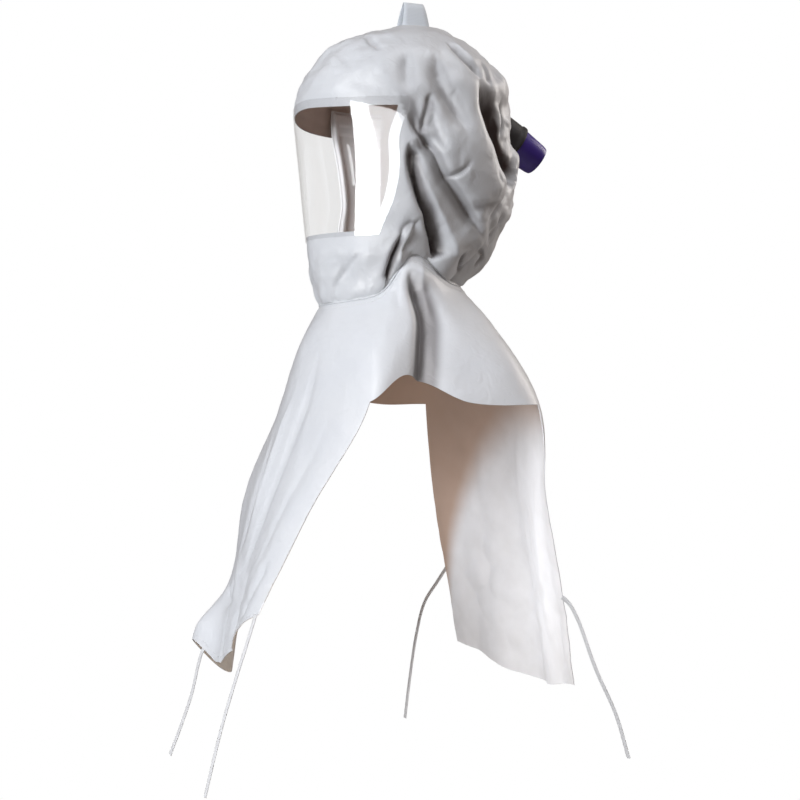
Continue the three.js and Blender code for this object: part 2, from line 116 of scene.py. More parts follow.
def between(b: Array, c: Array, slope_b: Array, slope_c: Array, t: Array) -> Array:
    """Smooth cubic value at the share t of the way from b to c, with the given slopes there."""
    square = -3 * b + 3 * c - 2 * slope_b - slope_c
    cube = 2 * b - 2 * c + slope_b + slope_c
    return b + (slope_b + (square + cube * t) * t) * t


def rounded(controls: Array, position: Array, closed: bool = False) -> Array:
    """Places on a smooth centripetal curve through control points.

    Args:
        controls: Control points along the first axis.
        position: Places to read, counted in control points.
        closed: Whether the curve returns to its first point.

    Returns:
        One place, or one row of places, for each position.
    """
    if closed:
        ring = np.concatenate([controls[-1:], controls, controls[:2]])
    else:
        before, after = 2 * controls[:1] - controls[1:2], 2 * controls[-1:] - controls[-2:-1]
        ring = np.concatenate([before, controls, after])
    spans = len(ring) - 3
    index = np.clip(np.floor(position).astype(int), 0, spans - 1)
    t = (position - index).reshape((-1,) + (1,) * (controls.ndim - 1))
    a, b, c, d = (ring[index + k] for k in range(4))

    def pace(p: Array, q: Array) -> Array:
        """Square root of the distance between two places."""
        return np.maximum(np.sqrt(np.linalg.norm(q - p, axis=-1, keepdims=True)), 1e-4)

    ab, bc, cd = pace(a, b), pace(b, c), pace(c, d)
    slope_b = ((b - a) / ab - (c - a) / (ab + bc) + (c - b) / bc) * bc
    slope_c = ((c - b) / bc - (d - b) / (bc + cd) + (d - c) / cd) * bc
    return between(b, c, slope_b, slope_c, t)


def run_along(places: Array) -> Array:
    """Distance along a line of places, from zero at its start."""
    return np.concatenate([[0.0], np.cumsum(np.linalg.norm(np.diff(places, axis=0), axis=1))])


def wander(points: Array, reach: float, seed: float) -> Array:
    """Smooth random field from about -1 to 1 whose swells are reach millimetres long."""
    shift = Vector((seed, 2.0 * seed, 3.0 * seed))
    flat = points.reshape(-1, 3) / reach
    values = [noise.noise(Vector(place) + shift) for place in flat]
    return np.array(values).reshape(points.shape[:-1])


def creases(points: Array, reach: float, seed: float) -> Array:
    """Random field with sharp valleys and sharp ridges between smooth slopes, as creased paper has."""
    ridge_reach, ridge_seed = 1.2 * reach, seed + 31.0
    valleys = np.abs(wander(points, reach, seed))
    ridges = np.abs(wander(points, ridge_reach, ridge_seed))
    return 2.0 * (valleys - ridges)


def dimples(points: Array, cell: float, seed: int) -> Array:
    """Hollows with sharp rims between them, as crumpled film has: 0 in a hollow and 1 at a rim.

    Args:
        points: Grid of places on the cloth.
        cell: Size of a hollow in millimetres.
        seed: Seed of the hollows' places.

    Returns:
        A height for each place.
    """
    # How many times the box's width and depth the cloth goes round, a hollow's radius and the highest rim
    girth, radius, highest = 2.2, 0.62 * cell, 1.4
    flat = points.reshape(-1, 3)
    draw = np.random.default_rng(seed)
    spread = flat.max(axis=0) - flat.min(axis=0)
    count = int(girth * (spread[0] + spread[1]) * spread[2] / cell**2)
    chosen = flat[draw.choice(len(flat), size=min(count, len(flat) // 4), replace=False)]
    tree = kdtree.KDTree(len(chosen))
    for index, place in enumerate(chosen):
        tree.insert(place, index)
    tree.balance()
    near = np.array([tree.find(place)[2] for place in flat])
    return np.minimum((near / radius) ** 2, highest).reshape(points.shape[:-1])


# Folds


@dataclass(frozen=True)
class Fold:
    """A crease in cloth, along a line of places on the chart of its surface.

    places are chart places, depth goes inwards in millimetres and a ridge has a negative one, width is
    how fast the sides rise, soft rounds the bottom, lean makes the rear side wider than the front one,
    start and end are the shares of its length over which it fades, and the painted shade field is how
    far its bottom's colour is darkened, painted shade for the shade that falls there.
    Where it fades out it keeps a share of its width, and beside it the cloth swells out a little.
    """

    places: tuple[tuple[float, float], ...]
    depth: float
    width: float
    soft: float = 2.5
    lean: float = 0.0
    start: float = 0.25
    end: float = 0.25
    painted_shade: float = 0.0
    kept_width: float = 0.45
    side_swell: float = 0.3
    # Widths of the crease to which it is worked out
    reach: float = 5.0
    # Shares of the crease's depth between which the painted shade comes in
    painted_shade_from: tuple[float, float] = (0.35, 0.6)

    def chart_line(self, steps: int = 8) -> Array:
        """Chart places along the crease, with steps between each two given ones."""
        given = np.array(self.places, float)
        position = np.arange((len(given) - 1) * steps + 1) / steps
        return rounded(given, position)

    def push(self, points: Array, normals: Array, line: Array) -> tuple[Array, Array]:
        """Outward push of the crease, and the grime in it.

        Args:
            points: Places on the cloth, in millimetres.
            normals: Outward normals there.
            line: The crease's own places.

        Returns:
            A push for each place, negative in a valley, and a share of painted shade.
        """
        flat, outward = points.reshape(-1, 3), normals.reshape(-1, 3)
        reach = self.reach * self.width * (1.0 + abs(self.lean)) + self.soft
        low, high = line.min(axis=0) - reach, line.max(axis=0) + reach
        near = np.nonzero(np.all((flat > low) & (flat < high), axis=1))[0]
        push, painted_shade = np.zeros(len(flat)), np.zeros(len(flat))
        if not len(near):
            return push.reshape(points.shape[:-1]), painted_shade.reshape(points.shape[:-1])
        place, out = flat[near], outward[near]
        best = np.full(len(near), np.inf)
        share, hand = np.zeros(len(near)), np.zeros(len(near))
        lengths = np.linalg.norm(np.diff(line, axis=0), axis=1)
        run = np.concatenate([[0.0], np.cumsum(lengths)])
        for k, length in enumerate(lengths):
            along = (line[k + 1] - line[k]) / max(length, 1e-6)
            t = np.clip((place - line[k]) @ along, 0.0, length)
            offset = place - line[k] - t[:, None] * along
            distance = np.linalg.norm(offset, axis=1)
            closer = distance < best
            best = np.where(closer, distance, best)
            share = np.where(closer, (run[k] + t) / run[-1], share)
            turn = np.einsum("ij,ij->i", np.cross(along, offset), out)
            hand = np.where(closer, np.sign(turn), hand)
        fade = np.ones(len(near))
        if self.start > 0:
            fade *= smoothstep(share, 0.0, self.start)
        if self.end > 0:
            fade *= smoothstep(1.0 - share, 0.0, self.end)
        width = self.width * (1.0 + self.lean * hand) * (self.kept_width + (1.0 - self.kept_width) * fade)
        x = (np.sqrt(best**2 + self.soft**2) - self.soft) / width
        push[near] = -self.depth * fade * (1.0 - self.side_swell * x) * np.exp(-x)
        # Painted shade: the crease's bottom darkened where shade falls in it
        painted_shade[near] = self.painted_shade * fade * smoothstep(np.exp(-x), *self.painted_shade_from)
        return push.reshape(points.shape[:-1]), painted_shade.reshape(points.shape[:-1])


def bell(first: Array, second: Array, middle: tuple[float, float], reach: tuple[float, float]) -> Array:
    """Soft weight on a chart, 1 at its middle."""
    x = (first - middle[0]) / reach[0]
    y = (second - middle[1]) / reach[1]
    return np.exp(-(x**2) - y**2)


@dataclass(frozen=True)
class Crumple:
    """A patch of crumpled cloth on a chart: its middle and reach, and the depth and size of its hollows."""

    middle: tuple[float, float]
    reach: tuple[float, float]
    depth: float
    cell: float

    def weight(self, first: Array, second: Array) -> Array:
        """How strongly the patch shows at chart places."""
        return bell(first, second, self.middle, self.reach)


@dataclass(frozen=True)
class Pull:
    """A drawn place of the cloth on a chart: its middle, its reach each way, and its move in millimetres."""

    middle: tuple[float, float]
    reach: tuple[float, float]
    move: tuple[float, float, float]

    def moves(self, first: Array, second: Array) -> Array:
        """Moves of chart places, one for each pair."""
        return bell(first, second, self.middle, self.reach)[..., None] * np.array(self.move)


# Meshes


def mesh_piece(
    name: str,
    vertices: Array,
    faces: list,
    materials: list,
    indices: list | None = None,
    painted_shade: Array | None = None,
) -> Object:
    """A smooth-shaded object from places in millimetres.

    Args:
        name: Name of the piece.
        vertices: Places, one row each.
        faces: Corner numbers of each face.
        materials: Finishes in the order of their indices.
        indices: Index of each face's finish, or None where there is one.
        painted_shade: Share of painted shade at each place, or None for a piece with none.

    Returns:
        The object, at the origin.
    """
    mesh = bpy.data.meshes.new(name)
    mesh.from_pydata((np.asarray(vertices).reshape(-1, 3) * MM).tolist(), [], faces)
    for material in materials:
        mesh.materials.append(material)
    if indices is not None:
        mesh.polygons.foreach_set("material_index", np.array(indices, np.int32))
    mesh.polygons.foreach_set("use_smooth", np.ones(len(mesh.polygons), bool))
    # The painted shade goes on as a point attribute that darkens the colour in the finishes
    if painted_shade is not None:
        mesh.attributes.new(PAINTED_SHADE, "FLOAT", "POINT").data.foreach_set("value", painted_shade.astype(np.float32))
    edit = bmesh.new()
    edit.from_mesh(mesh)
    bmesh.ops.remove_doubles(edit, verts=edit.verts, dist=SAME_PLACE)
    edit.to_mesh(mesh)
    edit.free()
    mesh.set_sharp_from_angle(angle=math.radians(SHARP_ANGLE))
    piece = bpy.data.objects.new(name, mesh)
    bpy.context.scene.collection.objects.link(piece)
    return piece


def face_outwards(mesh: bpy.types.Mesh) -> None:
    """Turns every face of a closed mesh outwards."""
    edit = bmesh.new()
    edit.from_mesh(mesh)
    bmesh.ops.recalc_face_normals(edit, faces=edit.faces)
    edit.to_mesh(mesh)
    edit.free()


def ring_faces(rows: int, columns: int) -> list[list[int]]:
    """Faces of a grid that is closed both ways."""
    number = np.arange(rows * columns).reshape(rows, columns)
    below, beside = np.roll(number, -1, axis=0), np.roll(number, -1, axis=1)
    corners = np.stack([number, beside, np.roll(below, -1, axis=1), below], axis=-1)
    return corners.reshape(-1, 4).tolist()


def wall(
    name: str,
    outer: Array,
    inner: Array,
    closed: bool,
    keep: Array,
    materials: list,
    painted_shade: tuple[Array, Array] | None = None,
) -> Object:
    """A closed wall between two grids.

    Args:
        name: Name of the piece.
        outer: Grid of the outer face.
        inner: Grid of the inner face.
        closed: Whether the last column meets the first.
        keep: Which cells of the grid are there.
        materials: Finish of the outer face and of the inner face.
        painted_shade: Shares of painted shade at each place of the outer and the inner face, or None for a
            piece with none.

    Returns:
        The wall as an object.
    """
    rows, count = outer.shape[:2]
    cells = count if closed else count - 1
    number = np.arange(rows * count).reshape(rows, count)
    inside = rows * count
    i, j = np.nonzero(keep)
    right = (j + 1) % count
    ring = np.stack([number[i, j], number[i + 1, j], number[i + 1, right], number[i, right]], axis=1)
    faces = ring.tolist() + (ring[:, ::-1] + inside).tolist()
    indices = [Side.OUTSIDE.value] * len(ring) + [Side.INSIDE.value] * len(ring)
    padded = np.zeros((rows + 1, cells + 2), bool)
    padded[1:-1, 1:-1] = keep
    if closed:
        padded[1:-1, 0] = keep[:, -1]
        padded[1:-1, -1] = keep[:, 0]
    beyond = (padded[i + 1, j], padded[i + 2, j + 1], padded[i + 1, j + 2], padded[i, j + 1])
    for k, neighbour in enumerate(beyond):
        start, stop = ring[~neighbour, k], ring[~neighbour, (k + 1) % 4]
        border = np.stack([stop, start, start + inside, stop + inside], axis=1)
        faces += border.tolist()
        indices += [Side.OUTSIDE.value] * len(border)
    used = np.unique(ring)
    used = np.concatenate([used, used + inside])
    place = np.zeros(2 * inside, int)
    place[used] = np.arange(len(used))
    vertices = np.concatenate([outer.reshape(-1, 3), inner.reshape(-1, 3)])[used]
    shares = None if painted_shade is None else np.concatenate([face.ravel() for face in painted_shade])[used]
    return mesh_piece(name, vertices, place[np.array(faces)].tolist(), materials, indices, shares)


def dress(piece: Object, slot: Slot, *nodes: str) -> Object:
    """Fixes a finished piece to the body, hides the CAD nodes that it stands for and logs its count of faces.
    """
    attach(piece, BODY)
    if nodes:
        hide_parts(*nodes)
    LOG.info("%s: %d faces", piece.name, len(piece.data.polygons))
    return piece


# Finishes


def linear(code: str) -> tuple[float, float, float, float]:
    """An sRGB hex colour as linear red, green, blue and full opacity."""
    parts = [int(code[k : k + 2], 16) / 255.0 for k in (1, 3, 5)]
    straight = [c / 12.92 if c <= 0.04045 else ((c + 0.055) / 1.055) ** 2.4 for c in parts]
    return (*straight, 1.0)


def per_metre(size: float) -> float:
    """Texture scale whose features are size millimetres apart, on coordinates in metres."""
    return 1.0 / (size * MM)


def add_node(
    tree: Tree,
    kind: str,
    settings: dict | None = None,
    links: dict | None = None,
) -> bpy.types.Node:
    """Adds a node with its settings and links.

    Args:
        tree: Node tree to add to.
        kind: Node type.
        settings: Values by property name or input name.
        links: Sockets that feed its inputs, by input name or number.

    Returns:
        The new node.
    """
    node = tree.nodes.new(kind)
    for name, value in (settings or {}).items():
        if isinstance(name, str) and hasattr(node, name):
            setattr(node, name, value)
        else:
            node.inputs[name].default_value = value
    for name, socket in (links or {}).items():
        tree.links.new(socket, node.inputs[name])
    return node


class Finish:
    """A material in the making: its node tree, and the steps that most finishes share."""

    # Sockets of a colour mix, which go by number because their names repeat
    mix_sockets = (6, 7)
    mix_result = 2

    def __init__(self, name: str) -> None:
        """Starts an empty node material."""
        self.material = bpy.data.materials.new(name)
        self.material.use_nodes = True
        self.tree = self.material.node_tree
        self.tree.nodes.clear()
        self.output = self.add("ShaderNodeOutputMaterial")
        place = self.add("ShaderNodeTexCoord")
        self.spot = place.outputs["Object"]
        self.map = place.outputs["UV"]

    def add(self, kind: str, settings: dict | None = None, links: dict | None = None) -> bpy.types.Node:
        """Adds a node."""
        return add_node(self.tree, kind, settings, links)

    def clouds(self, size: float, detail: float, distortion: float = 0.0) -> Socket:
        """Noise with swells size millimetres long."""
        settings = {"Scale": per_metre(size), "Detail": detail, "Distortion": distortion}
        return self.add("ShaderNodeTexNoise", settings, {"Vector": self.spot}).outputs["Fac"]

    def mixed(self, share: Socket, *colours: str | Socket) -> Socket:
        """Colour between two, each a hex colour or a socket, by a share of the second."""
        mix = self.add("ShaderNodeMix", {"data_type": "RGBA"}, {0: share})
        for number, colour in zip(self.mix_sockets, colours):
            if isinstance(colour, str):
                mix.inputs[number].default_value = linear(colour)
            else:
                self.tree.links.new(colour, mix.inputs[number])
        return mix.outputs[self.mix_result]

    def with_painted_shade(self, clean: Socket, shade_paint: str) -> Socket:
        """A colour darkened towards a shade colour by each place's share of painted shade."""
        painted_shade = self.add("ShaderNodeAttribute", {"attribute_name": PAINTED_SHADE})
        return self.mixed(painted_shade.outputs["Fac"], clean, shade_paint)

    def ranged(self, value: Socket, low: float, high: float) -> Socket:
        """A value from 0 to 1 spread from low to high."""
        settings = {"To Min": low, "To Max": high}
        return self.add("ShaderNodeMapRange", settings, {"Value": value}).outputs["Result"]

    def bumped(
        self,
        height: Socket,
        strength: float,
        depth: float,
        under: Socket | None = None,
    ) -> Socket:
        """Normal of a relief that is depth millimetres deep, over another one where under is given."""
        links = {"Height": height}
        if under is not None:
            links["Normal"] = under
        settings = {"Strength": strength, "Distance": depth * MM}
        return self.add("ShaderNodeBump", settings, links).outputs["Normal"]

    def body(self, settings: dict, links: dict) -> Material:
        """Ends the material in a surface with a body colour."""
        surface = self.add("ShaderNodeBsdfPrincipled", settings, links)
        return self.end(surface.outputs["BSDF"])

    def end(self, shader: Socket) -> Material:
        """Ends the material in a shader."""
        self.tree.links.new(shader, self.output.inputs["Surface"])
        return self.material


@dataclass(frozen=True)
class CoatedCloth:
    """Spunbonded polypropylene with a polyethylene film on its outside.

    The film is smooth and gives long soft glints; the bonded fibres under it show as a faint mottle and
    fine pimples, and small ripples remain from folding. Sizes are in millimetres.
    """

    name: str = "film_coated_spunbond"
    light: str = "#D0D2D4"
    dull: str = "#C6C9CD"
    # Dark brown painted shade at the bottom of deep folds
    painted_shade: str = "#3A2B29"
    roughness: float = 0.46
    roughness_spread: float = 0.08
    ior: float = 1.5
    film: float = 0.22
    film_roughness: float = 0.3
    mottle: float = 42.0
    mottle_detail: float = 4.0
    ripple: float = 13.0
    ripple_detail: float = 1.0
    ripple_bend: float = 1.2
    ripple_strength: float = 0.3
    ripple_depth: float = 2.0
    # Bond points are about 1 mm apart, drawn at 3 mm so that they show in the render
    pimple: float = 3.0
    pimple_strength: float = 0.03
    pimple_depth: float = 0.4

    def make(self) -> Material:
        """Builds the finish."""
        finish = Finish(self.name)
        mottle = finish.clouds(self.mottle, self.mottle_detail)
        tone = finish.mixed(mottle, self.light, self.dull)
        rough = finish.ranged(
            mottle, self.roughness - self.roughness_spread, self.roughness + self.roughness_spread
        )
        ripple = finish.clouds(self.ripple, self.ripple_detail, self.ripple_bend)
        on_cloth = {"Vector": finish.spot}
        pimple = finish.add("ShaderNodeTexVoronoi", {"Scale": per_metre(self.pimple)}, on_cloth)
        waves = finish.bumped(ripple, self.ripple_strength, self.ripple_depth)
        grain = finish.bumped(pimple.outputs["Distance"], self.pimple_strength, self.pimple_depth, waves)
        return finish.body(
            {"IOR": self.ior, "Coat Weight": self.film, "Coat Roughness": self.film_roughness},
            {"Base Color": finish.with_painted_shade(tone, self.painted_shade), "Roughness": rough, "Normal": grain},
        )


@dataclass(frozen=True)
class BareCloth:
    """The bare inside of the same spunbonded polypropylene.

    With no film it is matt and a little warmer, with cloudy fibre density and a rough felted surface.
    """

    name: str = "bare_spunbond"
    light: str = "#E3E3E4"
    dull: str = "#D0CFCE"
    # Brown painted shade on the lining under the yoke
    painted_shade: str = "#A38064"
    roughness: float = 0.88
    ior: float = 1.49
    sheen: float = 0.15
    cloud: float = 26.0
    cloud_detail: float = 5.0
    # Fibres are far finer than a pixel, so the felt is drawn at 2.4 mm
    felt: float = 2.4
    felt_detail: float = 3.0
    felt_strength: float = 0.12
    felt_depth: float = 0.6

    def make(self) -> Material:
        """Builds the finish."""
        finish = Finish(self.name)
        tone = finish.mixed(finish.clouds(self.cloud, self.cloud_detail), self.light, self.dull)
        felt = finish.clouds(self.felt, self.felt_detail)
        return finish.body(
            {"IOR": self.ior, "Roughness": self.roughness, "Sheen Weight": self.sheen},
            {
                "Base Color": finish.with_painted_shade(tone, self.painted_shade),
                "Normal": finish.bumped(felt, self.felt_strength, self.felt_depth),
            },
        )


@dataclass(frozen=True)
class ClearSheet:
    """Clear polyester sheet, cut flat and bent: nearly invisible face on, with glare like a mirror's at
    its bends."""

    name: str = "clear_polyester_sheet"
    tint: str = "#FCFCFC"
    haze: str = "#F7F8FA"
    # Share mirrored square on, which is 1.6 in refractive index
    mirrored: float = 0.06
    mirrored_at_edge: float = 0.3
    # How late the share rises towards the edge
    rise: float = 5.0
    roughness: float = 0.04
    # Times the roughness where the sheet is smeared
    smeared: float = 2.2
    smear: float = 60.0
    smear_detail: float = 3.0

    def make(self) -> Material:
        """Builds the finish: what lies behind shows through, and the faces mirror the lamps."""
        finish = Finish(self.name)
        smear = finish.clouds(self.smear, self.smear_detail)
        rough = finish.ranged(smear, self.roughness, self.smeared * self.roughness)
        through = finish.add("ShaderNodeBsdfTransparent", {"Color": linear(self.tint)})
        mirror = finish.add("ShaderNodeBsdfGlossy", {"Color": linear(self.haze)}, {"Roughness": rough})
        slant = finish.add("ShaderNodeLayerWeight", {"Blend": 0.5})
        power = {"operation": "POWER", 1: self.rise}
        steep = finish.add("ShaderNodeMath", power, {0: slant.outputs["Facing"]})
        share = finish.ranged(steep.outputs["Value"], self.mirrored, self.mirrored_at_edge)
        sheet = finish.add(
            "ShaderNodeMixShader", None, {0: share, 1: through.outputs["BSDF"], 2: mirror.outputs["BSDF"]}
        )
        return finish.end(sheet.outputs["Shader"])


@dataclass(frozen=True)
class WovenTape:
    """White polyester tape in plain weave: matt, with fine ribs across it that follow its length."""

    name: str = "woven_polyester_tape"
    crown: str = "#DEDEDE"
    hollow: str = "#CACBCC"
    roughness: float = 0.72
    sheen: float = 0.2
    # The picks lie about 0.7 mm apart, drawn at 1.6 mm so that they show in the render
    pick: float = 1.6
    # Bands of the wave texture for each pick, and their waver
    rib_bands: float = 0.31
    rib_waver: float = 0.6
    weave_strength: float = 0.2
    weave_depth: float = 0.3

    def make(self) -> Material:
        """Builds the finish on the tape's own map, whose unit is a metre."""
        finish = Finish(self.name)
        on_map = {"Vector": finish.map}
        weave = finish.add("ShaderNodeTexChecker", {"Scale": per_metre(self.pick)}, on_map)
        scale = per_metre(self.pick) * self.rib_bands
        bands = {"bands_direction": "Y", "Scale": scale, "Distortion": self.rib_waver}
        ribs = finish.add("ShaderNodeTexWave", bands, on_map)
        height = finish.add(
            "ShaderNodeMath", {"operation": "ADD"}, {0: ribs.outputs["Fac"], 1: weave.outputs["Fac"]}
        )
        return finish.body(
            {"Roughness": self.roughness, "Sheen Weight": self.sheen},
            {
                "Base Color": finish.mixed(ribs.outputs["Fac"], self.hollow, self.crown),
                "Normal": finish.bumped(height.outputs[0], self.weave_strength, self.weave_depth),
            },
        )


@dataclass(frozen=True)
class Moulded:
    """A moulded plastic or rubber: an even body colour, a spark-eroded grain and slight wear in its gloss."""

    name: str
    colour: str
    worn: str
    roughness: float
    ior: float
    grain: float
    grain_depth: float
    coat: float = 0.0
    coat_roughness: float = 0.2
    grain_detail: float = 2.0
    grain_strength: float = 0.3
    wear: float = 9.0
    wear_detail: float = 5.0
    # Times the roughness where the face is rubbed smooth and where it is scuffed
    rubbed: float = 0.85
    scuffed: float = 1.2

    def make(self) -> Material:
        """Builds the finish."""
        finish = Finish(self.name)
        wear = finish.clouds(self.wear, self.wear_detail)
        grain = finish.clouds(self.grain, self.grain_detail)
        return finish.body(
            {"IOR": self.ior, "Coat Weight": self.coat, "Coat Roughness": self.coat_roughness},
            {
                "Base Color": finish.mixed(wear, self.colour, self.worn),
                "Roughness": finish.ranged(wear, self.rubbed * self.roughness, self.scuffed * self.roughness),
                "Normal": finish.bumped(grain, self.grain_strength, self.grain_depth),
            },
        )


# Moulded polypropylene, dyed through: a dense purple with a satin face
COUPLING_FINISH = Moulded("purple_polypropylene", "#35217A", "#3F2A8A", 0.36, 1.49, 0.8, 0.08, 0.1)
# Moulded rubber: nearly black, dull, with a fine dusty grain
GLAND_FINISH = Moulded("black_rubber", "#141112", "#221D1E", 0.62, 1.52, 0.9, 0.12)
# Moulded ABS: light grey with a fine matt grain
PLATE_FINISH = Moulded("grey_abs", "#EFEFF0", "#E4E5E7", 0.48, 1.53, 0.9, 0.06)
# Spun polyester thread: off-white and matt
THREAD_FINISH = Moulded("polyester_thread", "#E4E4E4", "#D2D3D5", 0.8, 1.5, 0.4, 0.1)


class Finishes:
    """Every finish of the hood, made once."""

    def __init__(self) -> None:
        """Makes the materials."""
        self.outside = CoatedCloth().make()
        self.inside = BareCloth().make()
        # A darker, warmer copy of the bare inside for the head cover, painted shade for the hood's shaded
        # inside
        self.head_inside = BareCloth("bare_spunbond_shaded", "#E0D2CA", "#CDBDB4").make()
        self.visor = ClearSheet().make()
        # The sheet's own back mirrors the same lamps at the same place, so only its front shows them
        back = ClearSheet("clear_polyester_sheet_back", mirrored=0.0, mirrored_at_edge=0.1)
        self.visor_back = back.make()
        self.tape = WovenTape().make()
        # The loop is of a greyer tape than the ties
        self.loop_tape = WovenTape("woven_loop_tape", "#CDD2D7", "#C3C9CF").make()
        self.coupling = COUPLING_FINISH.make()
        self.gland = GLAND_FINISH.make()
        self.plate = PLATE_FINISH.make()
        self.thread = THREAD_FINISH.make()


# Head cover


@dataclass(frozen=True)
class Ring:
    """A level ring of the head cover, in millimetres: its depth below the crown, its reach before and
    behind the crown's axis, half its width and the station that has it, the exponents of its front and
    back half ovals, and the angle from the face of the visor's side line."""

    drop: float
    front: float
    back: float
    half: float
    middle: float
    bow: float
    nape: float
    edge: float


HEAD_RINGS = (
    Ring(0, 0, 0, 0, 0, 2.1, 2.1, 60),
    Ring(7, 27, 38, 32, 0, 2.1, 2.1, 60),
    Ring(18, 62, 57, 59, 0, 2.2, 2.1, 60),
    Ring(31, 94, 72, 78, 0, 2.2, 2.1, 61),
    Ring(48, 110, 90, 94, 0, 2.2, 2.2, 63),
    Ring(66, 123, 105, 104, 0, 2.2, 2.2, 65),
    Ring(85, 131, 117, 111, 0, 2.2, 2.2, 66),
    Ring(114, 132, 127, 115, 0, 2.1, 2.2, 66),
    Ring(146, 131, 129, 117, 0, 1.85, 2.2, 59),
    Ring(180, 128, 128, 115, 0, 1.75, 2.2, 58),
    Ring(212, 125, 119, 109, -2, 1.75, 2.2, 56),
    Ring(246, 121, 104, 101, -6, 1.8, 2.2, 51),
    Ring(277, 117, 90, 92, -16, 1.9, 2.1, 50),
    Ring(310, 104, 57, 80, -26, 2.0, 2.0, 50),
)


@dataclass(frozen=True)
class HeadShape:
    """The smooth form of the head cover and of the neck seam under it."""

    rings: tuple[Ring, ...] = HEAD_RINGS
    window_top: int = 7
    window_bottom: int = 11
    seam_dip: float = 12.5
    seam_point_angle: float = 87.0
    seam_rise: float = 40.0
    seam_ahead: float = 16.0
    seam_behind: float = 26.0
    mean_radius: float = 115.0
    # Rings above the window's bottom where the cloth beside the face already runs up to the seam's points
    early_rise: float = 3.0
    # The brow is cut a little higher at the middle of the face
    brow_rise: float = 7.0
    # The window reaches a little further back on the wearer's right
    far_reach: float = 8.0
    # Angles between which the cloth turns from the face to the side
    side_from: tuple[float, float] = (60.0, 80.0)
    # Rings over which the higher brow comes in above the window and goes out below its top
    brow_above: float = 2.0
    brow_below: float = 3.0
    brow_power: int = 8

    def column(self, name: str, position: Array) -> Array:
        """Smooth value of one column of the rings' table at ring positions."""
        values = np.array([getattr(ring, name) for ring in self.rings], float)
        last = len(values) - 1
        row = np.clip(np.floor(position).astype(int), 0, last - 1)
        a, b, c, d = (values[np.clip(row + k, 0, last)] for k in (-1, 0, 1, 2))
        return between(b, c, (c - a) / 2, (d - b) / 2, position - row)

    def position_of(self, drop: Array) -> Array:
        """Ring position at a depth below the crown."""
        drops = [ring.drop for ring in self.rings]
        return np.interp(drop, drops, np.arange(len(drops)))

    def seam_height(self, angle: Array) -> Array:
        """Height of the neck seam at angles from the face."""
        turn = np.abs(signed_turn(angle))
        spread = np.where(turn < self.seam_point_angle, self.seam_ahead, self.seam_behind)
        rise = self.seam_rise * np.exp(-(((turn - self.seam_point_angle) / spread) ** 2))
        return -self.rings[-1].drop - self.seam_dip * np.cos(np.radians(turn)) + rise

    def point(self, position: Array, angle: Array) -> Array:
        """Places of the smooth head cover.

        Args:
            position: Ring positions.
            angle: Angles from the face towards the wearer's left, in degrees.

        Returns:
            A place for each pair.
        """
        position, angle = np.broadcast_arrays(np.asarray(position, float), np.asarray(angle, float))
        side, ahead = np.sin(np.radians(angle)), np.cos(np.radians(angle))
        power = 2.0 / np.where(ahead > 0, self.column("bow", position), self.column("nape", position))
        middle = self.column("middle", position)
        front, back = self.column("front", position), self.column("back", position)
        reach = np.where(ahead > 0, -(front + middle), back - middle)
        beside = smoothstep(np.abs(signed_turn(angle)), *self.side_from)
        to_seam = smoothstep(position, self.window_bottom - self.early_rise * beside, len(self.rings) - 1)
        shift = self.seam_height(angle) + self.rings[-1].drop
        x = np.sign(side) * self.column("half", position) * np.abs(side) ** power
        y = middle + reach * np.abs(ahead) ** power
        at_brow = smoothstep(position, self.window_top - self.brow_above, self.window_top)
        at_brow *= 1.0 - smoothstep(position, self.window_top, self.window_top + self.brow_below)
        rise = self.brow_rise * at_brow * np.maximum(ahead, 0.0) ** self.brow_power
        return np.stack([x, y, to_seam * shift + rise - self.column("drop", position)], axis=-1)

    def seam_side(self, angle: Array, distance: float) -> Array:
        """Places beside the neck seam, square to it and above it where distance is positive."""
        neck = len(self.rings) - 1
        angle = np.asarray(angle, float)

        def on_seam(turn: Array) -> Array:
            """Places of the seam itself."""
            place = self.point(np.full_like(turn, neck), turn)
            place[..., 2] = self.seam_height(turn)
            return place

        place = on_seam(angle)
        along = unit(on_seam(angle + 1.0) - on_seam(angle - 1.0))
        outward = place * (1.0, 1.0, 0.0)
        outward[..., 1] -= self.rings[-1].middle
        up = unit(np.cross(unit(outward), along))
        return place + np.where(up[..., 2:] > 0, distance, -distance) * up

    def window_distance(self, position: Array, angle: Array) -> Array:
        """Distance along the cloth from the visor window's edge, zero inside the window."""
        turn = signed_turn(angle)
        edge = self.column("edge", position) + np.where(turn < 0.0, self.far_reach, 0.0)
        beside = np.maximum(np.abs(turn) - edge, 0.0) * np.radians(self.mean_radius)
        drop = self.column("drop", position)
        top, bottom = self.rings[self.window_top].drop, self.rings[self.window_bottom].drop
        over = np.maximum(np.maximum(top - drop, drop - bottom), 0.0)
        return np.hypot(beside, over)
